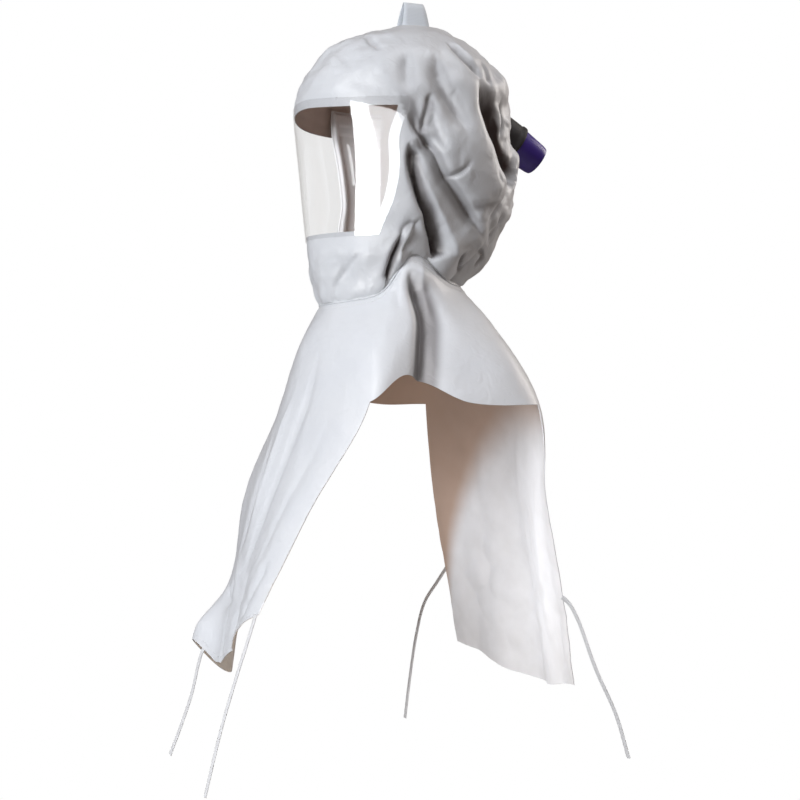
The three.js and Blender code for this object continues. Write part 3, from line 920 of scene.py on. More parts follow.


# Folds of the head cover on its chart of angle from the face and drop below the crown. The wearer's left has
# a long diagonal fold with a short arm, a second one below it, a recess behind the ear and a crumpled nape.
# A seventh number after a fold's places is painted shade, darkening the colour at its bottom.
LEFT_FOLDS = (
    Fold(
        ((67.5, 96), (69.5, 122), (71.5, 138), (75, 152), (80, 170)),
        7.0, 9.0, 0.8, 0.8, 0.25, 0.35, 0.45,
    ),
    Fold(
        (
            (74, 142), (77, 153), (81, 165), (86, 188), (91.5, 206), (97, 221), (105, 236), (117, 250),
            (131, 264),
        ),
        12.0, 12.0, 1.0, -0.35, 0.1, 0.35, 0.4,
    ),
    Fold(
        ((68.5, 152), (67.3, 164), (67, 176), (68.6, 190), (72, 208), (79.2, 242), (91, 280), (104, 302)),
        14.0, 9.0, 0.8, 0.8, 0.12, 0.04, 0.75,
    ),
    Fold(
        ((71.5, 178), (76, 195), (86, 235), (98, 264), (109, 279), (120, 289)),
        -4.0, 7.0, 2.0, 0.0, 0.3, 0.2,
    ),
    Fold(((84.5, 97), (81, 106), (79.5, 116), (77.5, 127), (74, 146)), 5.5, 7.0, 0.8, 0.7, 0.3, 0.3, 0.4),
    Fold(((71.5, 50), (71.5, 76), (72.5, 106)), 4.5, 9.0, 4.0, 0.0, 0.4, 0.4, 0.12),
    Fold(
        ((85.5, 50), (87, 77), (89, 95), (93, 114), (97, 133), (100, 150)),
        9.0, 13.0, 4.5, -0.2, 0.3, 0.4, 0.22,
    ),
    Fold(((83, 116), (82.5, 132), (85, 148), (90, 166)), 4.5, 9.0, 3.0, -0.3, 0.35, 0.4, 0.15),
    Fold(((97, 34), (102, 56), (106, 65), (112, 80)), 5.0, 6.0, 1.2, 0.5, 0.3, 0.3, 0.2),
    Fold(((103, 30), (108, 50), (113, 68)), -2.5, 6.0, 2.0, 0.0, 0.3, 0.3),
    Fold(((122, 50), (119, 68), (117, 84)), 4.0, 6.0, 1.2, 0.0, 0.3, 0.3, 0.3),
    # The recess behind the ear, its bottom painted nearly black as painted shade
    Fold(
        (
            (109, 76), (110.5, 96), (112.5, 112), (115.5, 128), (118.5, 139), (123, 152), (128, 167),
            (135, 178), (143, 187),
        ),
        28.0, 22.0, 0.8, 0.62, 0.3, 0.06, 1.0,
    ),
    # A shallow fold beside it that mostly paints shade over the recess's far wall
    Fold(
        ((117, 96), (122, 116), (126, 134), (131, 150), (137, 166), (144, 180)),
        6.0, 12.0, 2.0, 0.0, 0.3, 0.2, 1.0,
    ),
    Fold(((131, 90), (134, 112), (133, 136)), 6.0, 7.0, 0.8, 0.5, 0.35, 0.35, 0.3),
    Fold(
        ((86, 202), (91, 199.5), (95, 192), (98.5, 181), (101.5, 166)),
        3.5, 4.5, 0.8, 0.5, 0.3, 0.5, 0.35,
    ),
    Fold(((134, 186), (133, 202), (127, 219), (124, 233), (122, 250)), 3.0, 4.0, 0.6, 0.4, 0.25, 0.4, 0.12),
    Fold(((136, 217), (135, 236), (132.5, 253), (136, 268)), 3.0, 4.0, 0.6, 0.4, 0.3, 0.3, 0.12),
    Fold(((105, 218), (112, 228), (118.5, 222), (127.5, 214)), 2.2, 4.5, 0.8, 0.0, 0.35, 0.35, 0.2),
    Fold(((119, 277), (121, 288), (131, 296)), 3.5, 4.0, 0.6, 0.0, 0.3, 0.2, 0.5),
    Fold(((127, 269), (138, 277), (139, 290)), 3.5, 4.0, 0.6, 0.0, 0.3, 0.2, 0.5),
    Fold(((148, 150), (153, 220)), 4.0, 10.0, 2.0),
)
FRONT_FOLDS = (
    Fold(((38, 26), (48, 40), (58, 54)), 4.0, 4.0, 0.8, 0.4, 0.3, 0.35, 0.2),
    Fold(((18, 48), (34, 58), (44, 80)), 2.4, 8.0, 1.8, 0.3, 0.3, 0.35),
    Fold(((0, 57), (14, 62), (26, 57)), 2.4, 7.0, 1.6, 0.0, 0.3, 0.3),
    Fold(((28, 42), (36, 64)), 1.8, 7.0, 1.6, 0.0, 0.35, 0.35),
    Fold(((-24, 46), (-34, 66)), 2.6, 6.0, 2.0),
    Fold(((48, 256), (46.5, 266), (37, 279), (26, 291), (20, 306)), 3.4, 5.0, 0.9, 0.5, 0.25, 0.0),
    Fold(((38, 262), (33, 285), (24, 310)), 1.8, 6.0, 1.8, 0.0, 0.4, 0.0),
    Fold(((20, 262), (15, 288), (10, 314)), 1.6, 7.0, 2.0, 0.0, 0.4, 0.0),
    Fold(((-18, 258), (-14, 288), (-9, 314)), 2.0, 6.0, 2.0, 0.0, 0.4, 0.0),
    Fold(((-42, 254), (-36, 282), (-28, 308)), 3.0, 6.0, 2.0, 0.0, 0.3, 0.0),
    # The pocket under the visor's lower corner, its bottom darkened with painted shade
    Fold(
        ((68, 244), (67.8, 254), (67.5, 265), (66.5, 278), (65.5, 294)),
        9.0, 4.5, 0.8, 0.5, 0.4, 0.0, 0.75,
    ),
    Fold(((67, 253), (68, 246.5), (70.5, 244), (74.5, 250), (78, 260)), 3.0, 5.0, 1.0, 0.0, 0.3, 0.35, 0.2),
    Fold(((75, 250), (73.5, 268), (73, 290)), -4.0, 6.0, 2.0, 0.0, 0.3, 0.0),
    Fold(((79, 250), (77, 266), (76, 286)), 3.0, 5.0, 1.4, 0.0, 0.3, 0.0),
)
RIGHT_FOLDS = (
    Fold(((-104, 70), (-108, 130), (-114, 200)), 7.0, 11.0, 4.0),
    Fold(((-120, 124), (-126, 190), (-133, 250)), 7.0, 11.0, 3.0),
    Fold(((-144, 84), (-149, 140), (-155, 205)), 8.0, 13.0, 4.0),
    Fold(((-92, 215), (-104, 250), (-116, 284)), 6.0, 8.0, 2.5, 0.0, 0.3, 0.1),
    Fold(((-78, 244), (-75, 266), (-74, 286)), 6.0, 5.0, 1.8, 0.0, 0.3, 0.0),
    Fold(((-128, 214), (-136, 232), (-130, 252)), 4.0, 5.0, 1.8),
    Fold(((-100, 196), (-108, 200), (-114, 188)), 3.0, 4.5, 1.8),
)
HEAD_CRUMPLES = (
    Crumple((22, 62), (30, 24), 2.2, 20.0),
    Crumple((48, 38), (16, 14), 1.8, 16.0),
    Crumple((150, 150), (20, 60), 3.0, 26.0),
    Crumple((-140, 200), (26, 60), 3.0, 24.0),
)


@dataclass(frozen=True)
class Creasing:
    """Fine creases all over the head cover: their length and seed, their height, and what is added to it
    behind the wearer's left ear and round the face."""

    reach: float
    seed: float
    height: float
    behind: float
    ahead: float


HEAD_CREASES = (
    Creasing(44.0, 5.0, 1.1, 1.4, 0.8),
    Creasing(19.0, 7.0, 0.3, 0.9, 0.6),
)


@dataclass
class HeadCover:
    """The cloth head cover, open at the visor window and at the hole for the gland."""

    shape: HeadShape
    inlet: "InletShape"
    finishes: Finishes
    cloth: float = 0.9
    cell: float = 2.3
    window_columns: int = 30
    lap_columns: int = 3
    left_columns: int = 136
    right_columns: int = 50
    # Share of the left columns that lie on the first share of the way to the back
    left_dense: tuple[float, float] = (0.82, 0.61)
    lap_angle: float = 5.0
    lap_width: float = 11.0
    brow_lean: float = 2.4
    gather_depth: float = 3.0
    blouse: float = 1.0
    gather_count: float = 11.0
    # How far the gathers stray in degrees of phase, the reach and seed of that field, how sharp they
    # are, and the share of their depth that is left round the face
    gather_drift: float = 55.0
    gather_field: tuple[float, float] = (45.0, 9.0)
    gather_power: float = 0.8
    gather_least: float = 0.08
    gather_from: tuple[float, float] = (66.0, 104.0)
    # Height of the cloth's soft swells, and the reach and seed of that field
    swell: float = 0.9
    swell_field: tuple[float, float] = (60.0, 3.0)
    # Angles from the face between which creases grow behind, and between which they go out ahead
    nape_from: tuple[float, float] = (104.0, 124.0)
    face_to: tuple[float, float] = (50.0, 68.0)
    # Angles between which the pocket round the gland comes in
    pocket_from: tuple[float, float] = (100.0, 128.0)
    # Rings above the neck where the cloth bags out, and over how many
    blouse_above: float = 0.3
    blouse_rings: float = 0.22
    # Distance beyond the lap over which the relief comes in
    relief_clear: float = 12.0
    # Distances from the window, angles and drops over which the lean of the brow comes and goes
    brow_in: float = 16.0
    brow_out: tuple[float, float] = (30.0, 62.0)
    brow_turn: tuple[float, float] = (40.0, 62.0)
    brow_drop: tuple[float, float] = (92.0, 107.0)
    # Distance of the cloth's last row above the seam
    seam_gap: float = 0.8

    def __post_init__(self) -> None:
        """Works out the cloth's grid."""
        self.positions = self._rows()
        self.angles = self._columns()
        self.smooth = self.shape.point(self.positions[:, None], self.angles)
        self.normals = grid_normals(self.smooth, True)
        self.outer = self._folded()

    def _rows(self) -> Array:
        """Ring positions of the grid's rows, about one cell apart."""
        rows: list[float] = []
        rings = self.shape.rings
        for k, (above, below) in enumerate(zip(rings, rings[1:])):
            run = math.hypot(below.drop - above.drop, below.half - above.half)
            count = max(2, round(run / self.cell))
            rows += [k + n / count for n in range(count)]
        return np.array(rows + [len(rings) - 1.0])

    def _columns(self) -> Array:
        """Angles of the grid's columns in each row; the window's side lines are columns."""
        near = self.shape.column("edge", self.positions)[:, None]

        def half(edge: Array, count: int, dense: tuple[float, float]) -> Array:
            """Columns from the middle of the face to that of the back, the first behind the lap dense."""
            window = edge * np.arange(self.window_columns) / self.window_columns
            lap = edge + self.lap_angle * np.arange(self.lap_columns) / self.lap_columns
            share = np.interp(np.arange(count + 1) / count, (0.0, dense[0], 1.0), (0.0, dense[1], 1.0))
            rest = edge + self.lap_angle + (180.0 - edge - self.lap_angle) * share
            return np.concatenate([window, lap, rest], axis=1)

        left = half(near, self.left_columns, self.left_dense)
        right = half(near + self.shape.far_reach, self.right_columns, (0.5, 0.5))[:, 1:-1]
        return np.concatenate([left, 360.0 - right[:, ::-1]], axis=1)

    def _relief(self) -> Array:
        """Outward push of folds, crumples and gathers, none under the visor's margin."""
        shape = self.shape
        position = np.broadcast_to(self.positions[:, None], self.angles.shape)
        turn = signed_turn(self.angles)
        drop = shape.column("drop", position)
        away = shape.window_distance(position, self.angles)
        push = np.zeros(turn.shape)
        # Painted shade of the folds: how far each place's colour is darkened where shade falls
        self.painted_shade = np.zeros(turn.shape)
        for fold in LEFT_FOLDS + FRONT_FOLDS + RIGHT_FOLDS:
            chart = fold.chart_line()
            line = shape.point(shape.position_of(chart[:, 1]), chart[:, 0])
            inward, painted_shade = fold.push(self.smooth, self.normals, line)
            push += inward
            self.painted_shade = np.maximum(self.painted_shade, painted_shade)
        for seed, crumple in enumerate(HEAD_CRUMPLES):
            hollows = 1.0 - dimples(self.smooth, crumple.cell, seed)
            push -= crumple.depth * crumple.weight(turn, drop) * hollows
        push += self.swell * wander(self.smooth, *self.swell_field)
        behind = smoothstep(turn, *self.nape_from)
        ahead = 1.0 - smoothstep(np.abs(turn), *self.face_to)
        for crease in HEAD_CREASES:
            height = crease.height + crease.behind * behind + crease.ahead * ahead
            push += height * creases(self.smooth, crease.reach, crease.seed)
        neck = len(shape.rings) - 1
        near_neck = smoothstep(position, shape.window_bottom + 0.2, neck - 0.4)
        phase = self.gather_count * turn + self.gather_drift * wander(self.smooth, *self.gather_field)
        gathers = 1.0 - 2.0 * np.abs(np.sin(np.radians(phase / 2.0))) ** self.gather_power
        aside = smoothstep(np.abs(turn), *self.gather_from)
        aside = self.gather_least + (1.0 - self.gather_least) * aside
        push -= self.gather_depth * near_neck * gathers * aside
        push += self.blouse * np.exp(-(((position - neck + self.blouse_above) / self.blouse_rings) ** 2))
        push -= self.inlet.pocket(self.smooth) * smoothstep(np.abs(turn), *self.pocket_from)
        clear = smoothstep(away, self.lap_width - 1.0, self.lap_width + self.relief_clear)
        brow = smoothstep(away, self.lap_width, self.lap_width + self.brow_in)
        brow *= 1.0 - smoothstep(away, *self.brow_out)
        brow *= 1.0 - smoothstep(np.abs(turn), *self.brow_turn)
        brow *= 1.0 - smoothstep(drop, *self.brow_drop)
        return push * clear - self.brow_lean * brow

    def _folded(self) -> Array:
        """The outer grid with its relief, drawn to the seam below and round the gland behind."""
        outer = self.smooth + self.normals * self._relief()[..., None]
        outer[-1] = self.shape.seam_side(self.angles[-1], self.seam_gap)
        return self.inlet.drawn_round(outer)

    def window_rows(self) -> tuple[int, int]:
        """Rows of the grid at the window's top and bottom."""
        ends = (self.shape.window_top, self.shape.window_bottom)
        return tuple(int(np.searchsorted(self.positions, ring)) for ring in ends)

    def keep(self) -> Array:
        """Cells of the grid that are cloth."""
        columns = self.angles.shape[1]
        across = np.arange(columns)
        in_face = (across < self.window_columns) | (across >= columns - self.window_columns)
        top, bottom = self.window_rows()
        cells = np.ones((len(self.positions) - 1, columns), bool)
        cells[top:bottom, in_face] = False
        middle = (self.smooth[:-1] + np.roll(self.smooth, -1, axis=1)[1:]) / 2.0
        return cells & ~self.inlet.in_hole(middle)

    def build(self) -> Object:
        """Makes the head cover's wall."""
        inner = self.outer - grid_normals(self.outer, True) * self.cloth
        finishes = [self.finishes.outside, self.finishes.head_inside]
        # Painted shade darkens the outer face's folds; the inside has none
        shade_paint = (self.painted_shade, np.zeros(self.painted_shade.shape))
        piece = wall("hood_cloth", self.outer, inner, True, self.keep(), finishes, shade_paint)
        dress(piece, Slot.CLOTH, "hood")
        return piece


@dataclass
class Visor:
    """The clear sheet over the window, welded on the cloth along its margin."""

    cover: HeadCover
    finishes: Finishes
    sheet: float = 0.9
    gap: float = 0.3
    rows_over: int = 4
    rows_under: int = 2

    def build(self) -> Object:
        """Makes the sheet from the smooth form of the head cover."""
        cover = self.cover
        top, bottom = cover.window_rows()
        rows = slice(top - self.rows_over, bottom + self.rows_under + 1)
        reach = cover.window_columns + cover.lap_columns

        def part(grid: Array) -> Array:
            """The window's share of a grid, from the right side line to the left one."""
            return np.concatenate([grid[rows, -reach:], grid[rows, : reach + 1]], axis=1)

        smooth, normals = part(cover.smooth), part(cover.normals)
        inner = smooth + normals * self.gap
        outer = inner + normals * self.sheet
        keep = np.ones((outer.shape[0] - 1, outer.shape[1] - 1), bool)
        finishes = [self.finishes.visor, self.finishes.visor_back]
        piece = wall("visor_sheet", outer, inner, False, keep, finishes)
        return dress(piece, Slot.VISOR, "visor")


@dataclass
class NeckRoll:
    """The rolled seam that joins the head cover to the cape."""

    shape: HeadShape
    finishes: Finishes
    radius: float = 1.0
    pucker: float = 0.15
    pleats: int = 58
    # How far the pleats stray from even spacing in radians, and the reach and seed of that field
    pleat_drift: float = 2.0
    pleat_field: tuple[float, float] = (30.0, 4.0)
    steps: int = 420
    sides: int = 12

    def build(self) -> Object:
        """Makes the roll, pinched a little at each gather."""
        angle = 360.0 * np.arange(self.steps) / self.steps
        place = self.shape.seam_side(angle, 0.0)
        along = unit(np.roll(place, -1, axis=0) - np.roll(place, 1, axis=0))
        up = unit(self.shape.seam_side(angle, 1.0) - place)
        outward = unit(np.cross(up, along))
        phase = np.radians(self.pleats * angle) + self.pleat_drift * wander(place, *self.pleat_field)
        radius = self.radius + self.pucker * np.sin(phase)
        section = 2.0 * np.pi * np.arange(self.sides) / self.sides
        spoke = np.cos(section)[:, None, None] * outward + np.sin(section)[:, None, None] * up
        grid = place + radius[None, :, None] * spoke
        piece = mesh_piece("neck_roll", grid, ring_faces(self.sides, self.steps), [self.finishes.outside])
        return dress(piece, Slot.CLOTH, "neck_seam")


# Cape


@dataclass(frozen=True)
class Level:
    """A place of a cape station: its distance from the middle, behind the crown's axis and below the
    crown."""

    out: float
    back: float
    drop: float


def levels(*places: tuple[float, float, float]) -> tuple[Level, ...]:
    """Levels of a station from their distances out, back and down."""
    return tuple(Level(*place) for place in places)


@dataclass(frozen=True)
class Station:
    """A line down the cape from an angle on the neck seam, with its levels from the shoulder to the hem.

    columns is the count of grid columns up to the next station; right gives the levels of the wearer's
    right side where they differ.
    """

    seam_angle: float
    columns: int
    levels: tuple[Level, ...]
    right: tuple[Level, ...] = ()


FRONT_CORNER = ((98, -86, 362), (131, -98, 431), (114, -157, 541))
CAPE_STATIONS = (
    Station(0, 40, levels((0, -124, 360), (0, -148, 432), (0, -183, 541), (0, -205, 622), (0, -222, 716))),
    Station(
        52,
        26,
        levels(*FRONT_CORNER, (106, -190, 606), (99, -210, 650)),
        levels(*FRONT_CORNER, (99, -172, 640), (100, -184, 746)),
    ),
    Station(
        87,
        34,
        levels((105, -42, 332), (132, -55, 402), (136, -110, 541), (126, -150, 606), (116, -180, 652)),
    ),
    Station(115, 22, levels((122, 10, 355), (155, 5, 431), (196, 82, 541), (214, 108, 640), (212, 126, 735))),
    Station(
        142,
        52,
        levels((106, 61, 355), (153, 86, 434), (155, 97, 541), (156, 116, 640), (154, 132, 738)),
    ),
    Station(180, 0, levels((0, 88, 357), (0, 116, 434), (0, 138, 545), (0, 155, 655), (0, 165, 762))),
)

# Folds of the cape on its chart of station and level, both counted from the middle of the throat: the valley
# over each shoulder, its bottom darkened with painted shade, long drawn folds down the front panel and soft
# ones down the rear panel
CAPE_FOLDS = (
    Fold(
        ((1.92, 0.2), (2.12, 0.7), (2.24, 1.1), (2.22, 1.5), (2.2, 2.0)),
        17.0, 16.0, 1.6, 0.62, 0.22, 0.0, 0.7,
    ),
    Fold(((2.3, 0.1), (2.35, 0.5), (2.45, 1.0)), -3.0, 8.0, 2.0, 0.0, 0.2, 0.4),
    Fold(((1.55, 0.1), (1.65, 0.5), (1.75, 1.0)), 2.5, 6.0, 1.6, 0.0, 0.2, 0.4),
    Fold(((7.85, 0.1), (7.7, 0.7), (7.65, 1.3), (7.6, 2.0)), 8.0, 9.0, 3.0, 0.0, 0.15, 0.0),
    Fold(((0.34, 1.0), (0.3, 2.2), (0.26, 3.2), (0.24, 4.2)), 5.0, 8.0, 1.5, 0.4, 0.35, 0.3, 0.1),
    Fold(((0.12, 1.6), (0.1, 2.6), (0.08, 3.6)), -3.5, 6.0, 1.5, 0.0, 0.35, 0.35),
    Fold(((9.95, 2.2), (9.93, 3.2), (9.93, 4.1)), 4.5, 7.0, 1.5, 0.0, 0.35, 0.35, 0.1),
    Fold(((0.62, 2.0), (0.6, 3.2), (0.55, 4.2)), 2.6, 8.0, 2.0, 0.3, 0.4, 0.4),
    Fold(((0.75, 3.7), (0.66, 4.3), (0.5, 4.8)), 5.0, 7.0, 1.5, 0.0, 0.35, 0.25),
    Fold(((0.35, 3.8), (0.3, 4.5), (0.3, 5.0)), 4.0, 7.0, 2.0, 0.0, 0.35, 0.0),
    Fold(((9.6, 4.1), (9.85, 4.3), (10.1, 4.25)), 6.0, 7.0, 1.5, 0.0, 0.3, 0.4),
    Fold(((4.4, 2.6), (4.5, 3.6), (4.45, 4.6)), 3.0, 16.0, 8.0),
    Fold(((4.8, 2.2), (4.9, 3.4), (4.8, 4.8)), 3.0, 18.0, 8.0),
    Fold(((5.5, 2.2), (5.45, 3.4), (5.5, 4.8)), -4.0, 18.0, 8.0),
)
# The front panel's far side is drawn forward to a tip beside its tie
HEM_PULL = Pull((9.5, 5.0), (0.26, 0.7), (0.0, -36.0, 44.0))
CAPE_CRUMPLES = (
    Crumple((4.6, 4.2), (0.7, 0.9), 2.0, 34.0),
    Crumple((5.4, 4.0), (0.7, 1.2), 2.5, 34.0),
    Crumple((0.3, 4.3), (0.8, 0.8), 2.0, 26.0),
)


@dataclass(frozen=True)
class CapeShape:
    """The smooth form of the cape under the neck seam."""

    head: HeadShape
    stations: tuple[Station, ...] = CAPE_STATIONS
    # Distance of the cloth's first row below the seam
    seam_gap: float = 0.8

    def around(self) -> int:
        """Count of stations all the way round."""
        return 2 * (len(self.stations) - 1)

    def controls(self) -> Array:
        """Places of the stations all the way round, level by level."""
        left = [station.levels for station in self.stations]
        right = [station.right or station.levels for station in self.stations[-2:0:-1]]

        def place(level: Level, hand: int) -> tuple[float, float, float]:
            """A level as a place on the wearer's left, hand 1, or right, hand -1."""
            return (hand * level.out, level.back, -level.drop)

        lines = [[place(level, 1) for level in levels] for levels in left]
        lines += [[place(level, -1) for level in levels] for levels in right]
        return np.array(lines, float)

    def seam_angle(self, station: Array) -> Array:
        """Angle on the neck seam where a station's line starts."""
        half = [station.seam_angle for station in self.stations]
        angles = half + [360.0 - angle for angle in half[-2::-1]]
        return np.interp(station, np.arange(len(angles)), angles)

    def grid(self, station: Array, level: Array) -> Array:
        """Places of the smooth cape, a row for each level and a column for each station."""
        ring = rounded(self.controls(), np.asarray(station, float), closed=True)
        start = self.head.seam_side(self.seam_angle(station), -self.seam_gap)
        lines = np.concatenate([start[None], ring.transpose(1, 0, 2)])
        return rounded(lines, np.asarray(level, float))

    def point(self, station: Array, level: Array) -> Array:
        """Places of the smooth cape, one for each pair of station and level."""
        pairs = zip(np.atleast_1d(station), np.atleast_1d(level))
        return np.array([self.grid(np.array([s]), np.array([p]))[0, 0] for s, p in pairs])


@dataclass
class Cape:
    """The cape: a yoke over the shoulders with a front and a rear panel that hang free."""

    shape: CapeShape
    finishes: Finishes
    cloth: float = 0.9
    rows_per_level: tuple[int, ...] = (18, 26, 40, 32, 30)
    front_edge: float = 1.0
    rear_edge: float = 4.0
    # Rows of the grid that are sewn: one under the seam and one over the hem
    seam_row: int = 2
    hem_row: int = -3
    armhole_level: float = 2.0
    # Share of painted shade on the lining under the yoke, how many levels lower it reaches at the right edge,
    # how late it does so, and the levels where it fades
    lining_shade: float = 0.8
    lining_reach: float = 2.2
    lining_power: int = 4
    lining_levels: tuple[float, float] = (1.8, 2.45)
    front_flutes: tuple[float, float] = (3.0, 2.0)
    rear_flutes: tuple[float, float] = (2.5, 6.0)
    # Stations from the middle of the back where the rear flutes go out, and shares of the drop over
    # which all of them come in
    flutes_out: tuple[float, float] = (0.55, 0.9)
    flutes_in: tuple[float, float] = (0.25, 1.0)
    # Heights of swells, broad creases and fine creases, each with the reach and seed of its field
    swell: tuple[float, float, float] = (1.2, 75.0, 13.0)
    broad: tuple[float, float, float] = (0.7, 60.0, 15.0)
    fine: tuple[float, float, float] = (0.25, 24.0, 17.0)
    # Seed of the first crumple
    first_seed: int = 20
    # Levels under the seam over which the relief comes in
    relief_in: tuple[float, float] = (0.0, 0.25)

    def __post_init__(self) -> None:
        """Works out the cloth's grid."""
        # Number of the station at the middle of the back
        self.back = len(self.shape.stations) - 1.0
        self.levels = self._rows()
        self.stations = self._columns()
        self.smooth = self.shape.grid(self.stations, self.levels)
        self.normals = grid_normals(self.smooth, True)
        self.outer = self.smooth + self.normals * self._relief()[..., None]
        self.outer = self.outer + HEM_PULL.moves(self.stations[None, :], self.levels[:, None])

    def _rows(self) -> Array:
        """Levels of the grid's rows, from the seam to the hem."""
        rows = [k + n / count for k, count in enumerate(self.rows_per_level) for n in range(count)]
        return np.array(rows + [float(len(self.rows_per_level))])

    def _columns(self) -> Array:
        """Stations of the grid's columns, all the way round."""
        half = [k + n / s.columns for k, s in enumerate(self.shape.stations) for n in range(s.columns)]
        return np.array(half + [self.back] + [2.0 * self.back - s for s in half[:0:-1]])

    def _flutes(self) -> Array:
        """Upright flutes of the hanging panels, which deepen towards the hem."""
        from_back = np.abs(self.stations - self.back)
        from_front = self.back - from_back
        front_waves, front_depth = self.front_flutes
        rear_waves, rear_depth = self.rear_flutes
        front = front_depth * np.cos(np.pi * front_waves * from_front / self.front_edge)
        rear = rear_depth * np.cos(np.pi * rear_waves * from_back / (self.back - self.rear_edge))
        rear *= 1.0 - smoothstep(from_back, *self.flutes_out)
        behind = np.where(from_front >= self.rear_edge, rear, 0.0)
        wave = np.where(from_front <= self.front_edge, front, behind)
        down = self.levels / len(self.rows_per_level)
        return smoothstep(down, *self.flutes_in)[:, None] * wave[None, :]

    def _relief(self) -> Array:
        """Outward push of flutes, folds, crumples and the cloth's own unevenness."""
        push = self._flutes()
        # Painted shade of the folds, darkening their bottoms
        self.painted_shade = np.zeros(push.shape)
        for fold in CAPE_FOLDS:
            chart = fold.chart_line(6)
            line = self.shape.point(chart[:, 0] % self.shape.around(), chart[:, 1])
            inward, painted_shade = fold.push(self.smooth, self.normals, line)
            push += inward
            self.painted_shade = np.maximum(self.painted_shade, painted_shade)
        station = self.stations[None, :]
        level = self.levels[:, None]
        for seed, crumple in enumerate(CAPE_CRUMPLES):
            hollows = 1.0 - dimples(self.smooth, crumple.cell, self.first_seed + seed)
            push -= crumple.depth * crumple.weight(station, level) * hollows
        height, *field = self.swell
        push += height * wander(self.smooth, *field)
        for height, *field in (self.broad, self.fine):
            push += height * creases(self.smooth, *field)
        return push * smoothstep(level, *self.relief_in)

    def keep(self) -> Array:
        """Cells of the grid that are cloth: all but the arm openings."""
        after = np.roll(self.stations, -1)
        after[-1] = 2.0 * self.back
        middle = (self.stations + after) / 2.0
        from_front = np.where(middle > self.back, 2.0 * self.back - middle, middle)
        open_side = (from_front > self.front_edge) & (from_front < self.rear_edge)
        low = self.levels[:-1] >= self.armhole_level
        return ~(low[:, None] & open_side[None, :])

    def panels(self) -> dict[str, Array]:
        """Columns of the grid on the front and the rear panel, from the wearer's right or left edge on."""
        from_back = np.abs(self.stations - self.back)
        rear = np.nonzero(from_back <= self.back - self.rear_edge)[0]
        left = np.nonzero(self.stations <= self.front_edge)[0]
        right = np.nonzero(self.stations >= 2.0 * self.back - self.front_edge)[0]
        return {"front": np.concatenate([right, left]), "rear": rear}

    def build(self) -> Object:
        """Makes the cape's wall."""
        inner = self.outer - grid_normals(self.outer, True) * self.cloth
        finishes = [self.finishes.outside, self.finishes.inside]
        # Painted shade: darker bottoms of the outer folds, and a lining darker under the yoke, lower towards
        # the wearer's right
        across = np.interp(self.stations, (self.rear_edge, self.shape.around() - self.rear_edge), (0.0, 1.0))
        depth = self.levels[:, None] - self.lining_reach * across[None, :] ** self.lining_power
        shade_paint = (self.painted_shade, self.lining_shade * (1.0 - smoothstep(depth, *self.lining_levels)))
        piece = wall("cape_cloth", self.outer, inner, True, self.keep(), finishes, shade_paint)
        dress(piece, Slot.CLOTH, "cape")
        return piece


# Tapes


def tape_grid(centre: Array, across: Array, outward: Array, width: Array, thick: float) -> Array:
    """Sections of a flat tape with round edges, one ring of places for each point of its middle line.

    Args:
        centre: Places of the middle line.
        across: Unit vectors across the tape.
        outward: Unit vectors square to its wide face.
        width: Width at each place.
        thick: Thickness of the tape.

    Returns:
        Rings of places, one row for each place of the middle line.
    """
    half = thick / 2.0
    turn = np.radians(np.array([60.0, 30.0, 0.0, -30.0, -60.0]))
    right = [(1, half * math.cos(t), half * math.sin(t)) for t in turn]
    left = [(-1, -x, -y) for _, x, y in right]
    shares = (0.6, 0.0, -0.6)
    flat_low = [(share, 0.0, -half) for share in shares]
    flat_high = [(share, 0.0, half) for share in reversed(shares)]
    section = right + flat_low + left + flat_high
    straight = (np.asarray(width) / 2.0 - half)[:, None]
    rings = [centre + (share * straight + x) * across + y * outward for share, x, y in section]
    return np.stack(rings, axis=1)


def tape_piece(
    name: str,
    rings: Array,
    run: Array,
    width: float,
    material: Material,
) -> Object:
    """A closed tape from its sections, with a map in metres along and across it.

    Args:
        name: Name of the piece.
        rings: Sections of the tape.
        run: Distance along the tape of each section.
        width: Width that the map spans.
        material: Finish of the tape.

    Returns:
        The tape as an object.
    """
    count, sides = rings.shape[:2]
    number = np.arange(count * sides).reshape(count, sides)
    beside = np.roll(number, -1, axis=1)
    quads = np.stack([number[:-1], beside[:-1], beside[1:], number[1:]], axis=-1).reshape(-1, 4)
    faces = quads.tolist() + [number[0][::-1].tolist(), number[-1].tolist()]
    piece = mesh_piece(name, rings, faces, [material])
    layer = piece.data.uv_layers.new(name="tape")
    around = np.linspace(0.0, 2.0 * width * MM, sides, endpoint=False)
    spots = np.zeros((count * sides, 2))
    spots[:, 0] = np.tile(around, count)
    spots[:, 1] = np.repeat(np.asarray(run) * MM, sides)
    corners = np.zeros(len(piece.data.loops), np.int32)
    piece.data.loops.foreach_get("vertex_index", corners)
    layer.data.foreach_set("uv", spots[corners].ravel())
    face_outwards(piece.data)
    return piece


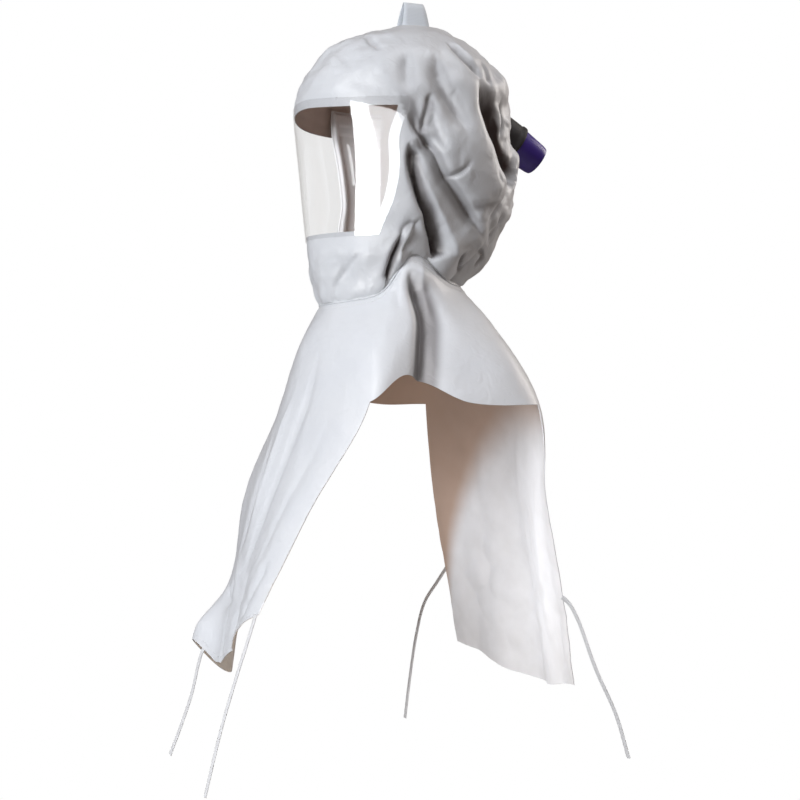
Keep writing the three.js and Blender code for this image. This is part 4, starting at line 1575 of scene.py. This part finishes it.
@dataclass
class HangLoop:
    """The tape loop on the crown, an arch across the head that spreads towards its stitched feet."""

    finishes: Finishes
    height: float = 27.0
    spread: float = 8.6
    width_top: float = 24.0
    width_foot: float = 34.0
    thick: float = 1.4
    middle: float = 5.0
    foot: float = -1.5
    squareness: float = 0.55
    # How far the arch sways from a plane
    sway: float = 0.8
    steps: int = 48

    def build(self) -> Object:
        """Makes the arch."""
        turn = np.pi * np.arange(self.steps + 1) / self.steps
        rise = np.maximum(np.sin(turn), 0.0) ** self.squareness
        bend = self.sway * np.sin(2.0 * turn)
        centre = np.stack(
            [
                -self.spread * np.cos(turn),
                np.full_like(turn, self.middle) + bend,
                self.foot + (self.height - self.foot) * rise,
            ],
            axis=-1,
        )
        along = unit(np.gradient(centre, axis=0))
        across = np.broadcast_to(np.array([0.0, 1.0, 0.0]), centre.shape)
        outward = unit(np.cross(across, along))
        width = self.width_foot + (self.width_top - self.width_foot) * rise
        run = run_along(centre)
        rings = tape_grid(centre, across, outward, width, self.thick)
        piece = tape_piece("hang_loop_tape", rings, run, self.width_top, self.finishes.loop_tape)
        return dress(piece, Slot.TAPE, "hang_loop")


TIE_ROUTES = {
    "tie_front_left": (
        (101, -212, -650), (100, -221, -679), (98, -231, -711), (97, -247, -764), (95, -264, -834),
    ),
    "tie_front_right": (
        (-31, -218, -684), (-35, -223, -694), (-39, -232, -707), (-46, -235, -722), (-58, -240, -758),
        (-70, -249, -795), (-84, -259, -832),
    ),
    "tie_rear_left": (
        (160, 112, -641), (164, 118, -647), (168, 127, -665), (175, 145, -718), (182, 166, -768),
        (188, 178, -814),
    ),
    "tie_rear_right": (
        (-156, 118, -641), (-162, 106, -662), (-166, 90, -688), (-169, 80, -728), (-172, 71, -791),
        (-174, 66, -836),
    ),
}


@dataclass
class Ties:
    """The four flat ties at the lower corners of the cape."""

    finishes: Finishes
    width: float = 6.0
    thick: float = 1.0
    steps: int = 60
    path_points: int = 24
    fine_steps: int = 400
    facing: tuple[float, float, float] = (0.14, -0.99, 0.0)

    def middle_line(self, route: tuple, count: int) -> Array:
        """Evenly spaced places along a smooth route."""
        controls = np.array(route, float)
        fine = rounded(controls, np.linspace(0.0, len(controls) - 1.0, self.fine_steps))
        run = run_along(fine)
        even = np.linspace(0.0, run[-1], count)
        return np.stack([np.interp(even, run, fine[:, k]) for k in range(3)], axis=1)

    def build(self) -> list[Object]:
        pieces = []
        for node, route in TIE_ROUTES.items():
            centre = self.middle_line(route, self.steps)
            along = unit(np.gradient(centre, axis=0))
            across = unit(np.cross(along, np.broadcast_to(self.facing, along.shape)))
            outward = unit(np.cross(across, along))
            run = run_along(centre)
            rings = tape_grid(centre, across, outward, np.full(self.steps, self.width), self.thick)
            piece = tape_piece(f"{node}_tape", rings, run, self.width, self.finishes.tape)
            dress(piece, Slot.TAPE, node)
            path = self.middle_line(route, self.path_points) * MM
            pieces.append(piece)
        return pieces


# Stitching


@dataclass
class Stitching:
    """Rows of thread stitches, laid along lines on the cloth by one node tree."""

    finishes: Finishes
    pitch: float = 3.4
    length: float = 2.4
    radius: float = 0.3
    lift: float = 0.2

    def __post_init__(self) -> None:
        """Makes the node tree."""
        self.thread = self.finishes.thread
        self.tree = self._tree()

    def _tree(self) -> Tree:
        """Makes the tree: a line becomes evenly spaced stitches that point along it."""
        tree = bpy.data.node_groups.new("stitch_row", "GeometryNodeTree")
        tree.interface.new_socket("Line", in_out="INPUT", socket_type="NodeSocketGeometry")
        for name in ("Pitch", "Length", "Radius"):
            tree.interface.new_socket(name, in_out="INPUT", socket_type="NodeSocketFloat")
        tree.interface.new_socket("Thread", in_out="INPUT", socket_type="NodeSocketMaterial")
        tree.interface.new_socket("Stitches", in_out="OUTPUT", socket_type="NodeSocketGeometry")
        add = partial(add_node, tree)
        given = add("NodeGroupInput").outputs
        curve = add("GeometryNodeMeshToCurve", None, {"Mesh": given["Line"]}).outputs["Curve"]
        spaced = {"Curve": curve, "Length": given["Pitch"]}
        even = add("GeometryNodeResampleCurve", {"mode": "LENGTH"}, spaced).outputs["Curve"]
        tangent = add("GeometryNodeInputTangent").outputs["Tangent"]
        turn = add("FunctionNodeAlignRotationToVector", {"axis": "Z"}, {"Vector": tangent})
        bead = add("GeometryNodeMeshUVSphere", {"Segments": 8, "Rings": 6, "Radius": 0.5}).outputs["Mesh"]
        smooth = add("GeometryNodeSetShadeSmooth", None, {"Geometry": bead})
        sides = {"X": given["Radius"], "Y": given["Radius"], "Z": given["Length"]}
        size = add("ShaderNodeCombineXYZ", None, sides)
        stitch = {
            "Points": even,
            "Instance": smooth.outputs["Geometry"],
            "Rotation": turn.outputs["Rotation"],
            "Scale": size.outputs["Vector"],
        }
        laid = add("GeometryNodeInstanceOnPoints", None, stitch).outputs["Instances"]
        whole = add("GeometryNodeRealizeInstances", None, {"Geometry": laid}).outputs["Geometry"]
        dyed = add("GeometryNodeSetMaterial", None, {"Geometry": whole, "Material": given["Thread"]})
        add("NodeGroupOutput", None, {"Stitches": dyed.outputs["Geometry"]})
        return tree

    def row(self, name: str, places: Array, normals: Array, closed: bool) -> Object:
        """Lays one row of stitches.

        Args:
            name: Name of the piece.
            places: Places of the line on the cloth.
            normals: Outward normals there.
            closed: Whether the line returns to its start.

        Returns:
            The stitches as one object.
        """
        count = len(places)
        edges = [(k, (k + 1) % count) for k in range(count if closed else count - 1)]
        line = bpy.data.meshes.new(name)
        line.from_pydata(((places + self.lift * normals) * MM).tolist(), edges, [])
        piece = bpy.data.objects.new(name, line)
        bpy.context.scene.collection.objects.link(piece)
        modifier = piece.modifiers.new("stitches", "NODES")
        modifier.node_group = self.tree
        given = {
            "Pitch": self.pitch * MM,
            "Length": self.length * MM,
            "Radius": 2.0 * self.radius * MM,
            "Thread": self.thread,
        }
        for socket in self.tree.interface.items_tree:
            if socket.in_out == "INPUT" and socket.name in given:
                modifier[socket.identifier] = given[socket.name]
        depsgraph = bpy.context.evaluated_depsgraph_get()
        plain = bpy.data.meshes.new_from_object(piece.evaluated_get(depsgraph))
        piece.modifiers.remove(modifier)
        piece.data = plain
        return dress(piece, Slot.TAPE)

    def sew(self, cape: Cape) -> None:
        """Sews the cape under the neck seam and along the hems of its panels."""
        normals = grid_normals(cape.outer, True)
        self.row("neck_stitches", cape.outer[cape.seam_row], normals[cape.seam_row], True)
        for name, across in cape.panels().items():
            places, outward = cape.outer[cape.hem_row, across], normals[cape.hem_row, across]
            self.row(f"{name}_hem_stitches", places, outward, False)


# Hose inlet


@dataclass(frozen=True)
class InletShape:
    """The axis of the hose coupling and the gland behind it."""

    end: tuple[float, float, float] = (0.0, 165.0, -144.0)
    axis: tuple[float, float, float] = (0.0, 0.85, -0.527)
    gland_radius: float = 22.0
    hole: float = 7.0
    drawn_reach: float = 46.0
    sink: float = 19.0
    # The cloth is sunk round the gland over a place that is wider than it is tall
    sink_wide: float = 80.0
    sink_tall: float = 33.0
    sink_low: float = 12.0
    tuck: float = 4.2
    # Places along the axis, negative behind the end ring: between the first two the pocket comes in, and
    # behind the third the cloth is left as it is
    pocket_behind: tuple[float, float] = (-110.0, -70.0)
    farthest: float = -90.0
    edge_angle: float = 40.0

    def frame(self) -> tuple[Array, Array, Array, Array]:
        """End point, axis and two directions square to it."""
        axis = unit(np.array(self.axis))
        right = np.array([1.0, 0.0, 0.0])
        return np.array(self.end), axis, right, np.cross(axis, right)

    def radial(self, points: Array) -> tuple[Array, Array, Array]:
        """Distance along the axis, the offset square to it and that offset's length."""
        end, axis, _, _ = self.frame()
        along = (points - end) @ axis
        offset = points - end - along[..., None] * axis
        return along, offset, np.linalg.norm(offset, axis=-1)

    def pocket(self, points: Array) -> Array:
        """Depth to which the cloth is sunk round the gland."""
        _, _, right, up = self.frame()
        along, offset, _ = self.radial(points)
        wide, tall = offset @ right / self.sink_wide, (offset @ up - self.sink_low) / self.sink_tall
        return self.sink * np.exp(-(wide**2) - tall**2) * smoothstep(along, *self.pocket_behind)

    def in_hole(self, points: Array) -> Array:
        """Whether places of the undrawn cloth lie in the gland's hole."""
        along, _, distance = self.radial(points)
        return (distance < self.hole) & (along > self.farthest)

    def drawn_round(self, points: Array) -> Array:
        """Cloth places moved outwards so that the hole's rim sits in the gland's wall."""
        along, offset, distance = self.radial(points)
        start = self.gland_radius - self.tuck
        share = (self.drawn_reach - start) / self.drawn_reach
        moved = np.where(distance < self.drawn_reach, start + distance * share, distance)
        near = along > self.farthest
        scale = np.where(near, moved / np.maximum(distance, 1e-6), 1.0)
        return points + offset * (scale - 1.0)[..., None]

    def lathe(
        self,
        name: str,
        profile: list[tuple[float, float]],
        sides: int,
        material: Material,
    ) -> Object:
        """A turned piece about the axis.

        Args:
            name: Name of the piece.
            profile: Closed line of radius and distance behind the end ring.
            sides: Count of segments round the axis.
            material: Finish of the piece.

        Returns:
            The turned piece.
        """
        end, axis, right, up = self.frame()
        turn = 2.0 * np.pi * np.arange(sides) / sides
        spoke = np.cos(turn)[:, None] * right + np.sin(turn)[:, None] * up
        rings = [end - behind * axis + radius * spoke for radius, behind in profile]
        grid = np.stack(rings)
        piece = mesh_piece(name, grid, ring_faces(len(profile), sides), [material])
        face_outwards(piece.data)
        piece.data.set_sharp_from_angle(angle=math.radians(self.edge_angle))
        return piece


@dataclass
class HoseInlet:
    """The tapered hose coupling and the rubber gland that carries it in the cloth."""

    shape: InletShape
    finishes: Finishes
    bore: float = 13.0
    end_radius: float = 18.0
    root_radius: float = 21.0
    length: float = 38.0
    round: float = 1.2
    gland_inner: float = 17.5
    gland_length: float = 35.0
    gap: float = 0.3
    lip_length: float = 5.0
    lip_height: float = 1.2
    bore_bevel: float = 0.8
    # Step of radius and distance behind the end at the foot of the end ring
    ring_step: tuple[tuple[float, float], tuple[float, float]] = ((0.7, 4.0), (0.9, 6.0))
    # Distances behind the lip where it falls to the gland's wall
    lip_foot: tuple[float, float, float] = (-0.5, 1.0, 5.0)
    sides: int = 72

    def _corner(self, radius: float, behind: float, start: float) -> list[tuple[float, float]]:
        """A rounded corner of the profile, from the angle start over a quarter turn."""
        turn = np.radians(start + np.linspace(0.0, -90.0, 5))
        return [(radius + self.round * math.cos(t), behind - self.round * math.sin(t)) for t in turn]

    def build(self) -> list[Object]:
        """Makes the coupling and the gland."""
        r = self.round
        coupling = [(self.bore + self.bore_bevel, 0.0)]
        coupling += self._corner(self.end_radius - r, r, 90.0)
        coupling += [(self.end_radius + out, behind) for out, behind in self.ring_step]
        coupling += self._corner(self.root_radius - r, self.length - r, 0.0)
        coupling += [(self.bore, self.length), (self.bore, self.bore_bevel)]
        body = self.shape.lathe("hose_coupling", coupling, self.sides, self.finishes.coupling)
        dress(body, Slot.COUPLING, "hose_inlet")
        start = self.length + self.gap
        outer = self.shape.gland_radius
        lip = self.root_radius + self.gap
        gland = [(self.gland_inner, start), (lip, start), (lip, start - self.lip_length)]
        gland += self._corner(outer + self.lip_height - r, start - self.lip_length + r, 90.0)
        lip_end, *wall_start = self.lip_foot
        gland += [(outer + self.lip_height, start + lip_end)]
        gland += [(outer, start + behind) for behind in wall_start]
        gland += self._corner(outer - r, start + self.gland_length - r, 0.0)
        gland += [(self.gland_inner, start + self.gland_length)]
        sleeve = self.shape.lathe("rubber_gland", gland, self.sides, self.finishes.gland)
        dress(sleeve, Slot.GLAND, "inlet_collar")
        return [body, sleeve]


@dataclass
class SidePlate:
    """The moulded plate on the inside of the right wall: a rim round a recess with a raised, slotted
    panel."""

    shape: HeadShape
    finishes: Finishes
    top: float = 84.0
    bottom: float = 240.0
    front: float = -62.0
    rear: float = -92.0
    # The foot of the plate reaches further towards the face
    foot_reach: float = 4.5
    foot_start: float = 190.0
    stand: float = 7.0
    back: float = 1.0
    floor_height: float = 0.6
    rim_height: float = 3.6
    ledge_height: float = 2.0
    panel_height: float = 3.4
    slot_depth: float = 2.6
    rows: int = 150
    columns: int = 64

    def _height(self, down: Array, behind: Array) -> Array:
        """Height of the plate's face at shares down and behind its front top corner."""

        def step(value: Array, at: float, soft: float = 0.012) -> Array:
            """A rounded step up."""
            return smoothstep(value, at - soft, at + soft)

        def band(value: Array, low: float, high: float) -> Array:
            """A rounded step up and down again."""
            return step(value, low) * (1.0 - step(value, high))

        rim_foot, rim_side = 0.11, 0.12
        rim = 1.0 - step(down, rim_foot) * step(behind, rim_side)
        ledge = band(down, rim_foot, 0.17) * step(behind, rim_side)
        panel = band(down, 0.24, 0.55) * step(behind, 0.34)
        slot = band(down, 0.3, 0.42) * band(behind, 0.55, 0.72)
        edge = band(down, 0.02, 0.98) * step(behind, 0.03, 0.02)
        raised = self.rim_height * rim + self.ledge_height * ledge
        raised = raised + self.panel_height * panel - self.slot_depth * slot
        return self.floor_height + edge * raised

    def build(self) -> Object:
        """Makes the plate."""
        shares = (np.linspace(0, 1, self.rows), np.linspace(0, 1, self.columns))
        down, behind = np.meshgrid(*shares, indexing="ij")
        drop = self.top + (self.bottom - self.top) * down
        front = self.front + self.foot_reach * smoothstep(drop, self.foot_start, self.bottom)
        place = self.shape.point(self.shape.position_of(drop), front + (self.rear - front) * behind)
        inward = unit(-place * (1.0, 1.0, 0.0))
        rear = place + inward * self.stand
        face = rear + inward * (self.back + self._height(down, behind))[..., None]
        keep = np.ones((self.rows - 1, self.columns - 1), bool)
        piece = wall("inner_plate_moulding", face, rear, False, keep, [self.finishes.plate])
        piece.data.polygons.foreach_set("material_index", np.zeros(len(piece.data.polygons), np.int32))
        return dress(piece, Slot.PLATE, "side_plate")


# Studio


@dataclass(frozen=True)
class Softbox:
    """A lamp with a flat face turned to the hood: its direction, distance, size, power and colour.

    One that does not light shows only in reflections, as a bright panel beside the set does.
    """

    name: str
    azimuth: float
    elevation: float
    distance: float
    width: float
    height: float
    power: float
    colour: str = "#FFFFFF"
    lights: bool = True
    shows: bool = True
    aim: tuple[float, float, float] = (0.0, 0.0, -0.3)

    def build(self) -> Object:
        """Places the lamp, facing what it is aimed at."""
        lamp = bpy.data.lights.new(self.name, "AREA")
        lamp.shape = "RECTANGLE"
        lamp.size, lamp.size_y = self.width, self.height
        lamp.energy = self.power
        lamp.color = linear(self.colour)[:3]
        a, e = math.radians(self.azimuth), math.radians(self.elevation)
        away = Vector((math.sin(a) * math.cos(e), -math.cos(a) * math.cos(e), math.sin(e)))
        holder = bpy.data.objects.new(self.name, lamp)
        holder.location = Vector(self.aim) + away * self.distance
        holder.rotation_euler = away.to_track_quat("Z", "Y").to_euler()
        holder.visible_camera = False
        holder.visible_diffuse = self.lights
        holder.visible_glossy = self.shows
        bpy.context.scene.collection.objects.link(holder)
        return holder


@dataclass
class Studio:
    """Camera, lamps, white backdrop and pale floor."""

    camera_place: tuple[float, float, float] = (1.5167, -0.6239, -0.429)
    camera_azimuth: float = 68.0
    lens: float = 64.17
    sensor: float = 36.0
    floor_height: float = -1.2
    floor_size: float = 24.0
    floor_colour: str = "#95918E"
    ambient: str = "#FFD9BC"
    ambient_strength: float = 0.12

    def __post_init__(self) -> None:
        """Sets out the lamps."""
        fill = partial(Softbox, shows=False)
        sheen = partial(Softbox, lights=False)
        self.softboxes = (
            fill("key_softbox", 21.0, 9.0, 2.2, 0.8, 1.5, 53.0, "#F5F9FF"),
            sheen("high_sheen", 22.0, 34.0, 2.2, 0.9, 0.8, 15.0),
            sheen("front_sheen", 32.2, -0.8, 2.2, 0.76, 0.94, 27.0),
            sheen("side_sheen", 55.0, -0.8, 2.2, 1.0, 0.94, 14.0),
            Softbox("top_softbox", 112.0, 62.0, 2.2, 1.4, 1.4, 22.0, "#F8FAFF"),
            Softbox("back_softbox", 182.0, 22.0, 2.4, 1.2, 1.5, 30.0, "#FFF8F2"),
        )
        # Fills that reach only the pieces of their group
        self.fills = {
            "cape": (
                fill("cape_fill", 66.0, 4.0, 2.0, 1.0, 1.0, 5.0, "#FBFAFF"),
                fill("inner_card", 0.0, 0.0, 0.2, 0.2, 0.16, 0.36, "#F0F6FF", aim=(-0.03, 0.14, -0.625)),
                fill("hem_card", 105.0, -12.0, 0.3, 0.1, 0.1, 0.3, "#FFD9A0", aim=(0.07, -0.19, -0.72)),
            ),
            "ties": (fill("tie_fill", 66.0, 8.0, 2.0, 1.0, 1.0, 3.0),),
            "far_tie": (fill("far_tie_fill", 66.0, 8.0, 2.0, 1.0, 1.0, 16.0),),
            "visor": (
                sheen("visor_glare", 31.6, -0.8, 2.1, 0.68, 0.94, 24.0),
                sheen("visor_sheen", 56.0, -0.8, 2.05, 1.13, 0.94, 21.0),
            ),
            "plate": (fill("plate_fill", 42.0, 8.0, 2.0, 0.6, 0.6, 26.0),),
        }

    def _camera(self) -> None:
        """Makes the camera at the photograph's viewing angle."""
        camera = bpy.data.objects.new("camera", bpy.data.cameras.new("camera"))
        camera.data.lens = self.lens
        camera.data.sensor_width = self.sensor
        camera.location = self.camera_place
        camera.rotation_euler = (math.radians(90.0), 0.0, math.radians(self.camera_azimuth))
        bpy.context.scene.collection.objects.link(camera)
        bpy.context.scene.camera = camera

    def _show(
        self,
        tree: Tree,
        lighting: Socket,
        seen: Socket,
        output: str,
    ) -> None:
        """Ends a tree in one shader where it is seen straight and another where it only lights."""
        path = add_node(tree, "ShaderNodeLightPath")
        shaders = {0: path.outputs["Is Camera Ray"], 1: lighting, 2: seen}
        mix = add_node(tree, "ShaderNodeMixShader", None, shaders)
        add_node(tree, output, None, {"Surface": mix.outputs["Shader"]})

    def _backdrop(self) -> None:
        """White where it is seen, and a dim warm fill elsewhere."""
        world = bpy.data.worlds.new("white_backdrop")
        world.use_nodes = True
        bpy.context.scene.world = world
        tree = world.node_tree
        tree.nodes.clear()
        white = add_node(tree, "ShaderNodeBackground", {"Color": (1, 1, 1, 1), "Strength": 1.0})
        fill = add_node(
            tree, "ShaderNodeBackground", {"Color": linear(self.ambient), "Strength": self.ambient_strength}
        )
        self._show(tree, fill.outputs["Background"], white.outputs["Background"], "ShaderNodeOutputWorld")

    def _floor(self) -> None:
        """A pale floor under the hanging hood, white where it is seen."""
        half = self.floor_size / 2.0
        turns = ((-1, -1), (1, -1), (1, 1), (-1, 1))
        corners = [(half * x, half * y, self.floor_height) for x, y in turns]
        mesh = bpy.data.meshes.new("floor")
        mesh.from_pydata(corners, [], [(0, 1, 2, 3)])
        material = bpy.data.materials.new("pale_floor")
        material.use_nodes = True
        tree = material.node_tree
        tree.nodes.clear()
        matt = add_node(tree, "ShaderNodeBsdfDiffuse", {"Color": linear(self.floor_colour)})
        white = add_node(tree, "ShaderNodeEmission", {"Color": (1, 1, 1, 1), "Strength": 1.0})
        self._show(tree, matt.outputs["BSDF"], white.outputs["Emission"], "ShaderNodeOutputMaterial")
        mesh.materials.append(material)
        floor = bpy.data.objects.new("floor", mesh)
        bpy.context.scene.collection.objects.link(floor)

    def build(self) -> None:
        """Sets up the studio."""
        self._camera()
        self._backdrop()
        self._floor()
        for softbox in self.softboxes:
            softbox.build()
        bpy.context.scene.view_settings.view_transform = "Standard"

    def fill_in(self, group: str, pieces: list[Object]) -> None:
        """Adds a group's fill lamps, which light only the given pieces."""
        lit = bpy.data.collections.new(f"{group}_pieces")
        for piece in pieces:
            lit.objects.link(piece)
        for fill in self.fills[group]:
            fill.build().light_linking.receiver_collection = lit


def main() -> None:
    """Builds the studio and every piece of the hood in order."""
    logging.basicConfig(level=logging.INFO, format="%(name)s %(message)s")
    studio = Studio()
    studio.build()
    finishes = Finishes()
    *near_ties, far_tie = Ties(finishes).build()
    studio.fill_in("ties", near_ties)
    studio.fill_in("far_tie", [far_tie])
    head = HeadShape()
    inlet = InletShape()
    NeckRoll(head, finishes).build()
    cover = HeadCover(head, inlet, finishes)
    cover.build()
    studio.fill_in("visor", [Visor(cover, finishes).build()])
    cape = Cape(CapeShape(head), finishes)
    studio.fill_in("cape", [cape.build()])
    Stitching(finishes).sew(cape)
    HangLoop(finishes).build()
    HoseInlet(inlet, finishes).build()
    studio.fill_in("plate", [SidePlate(head, finishes).build()])


if __name__ == "__main__":
    main()
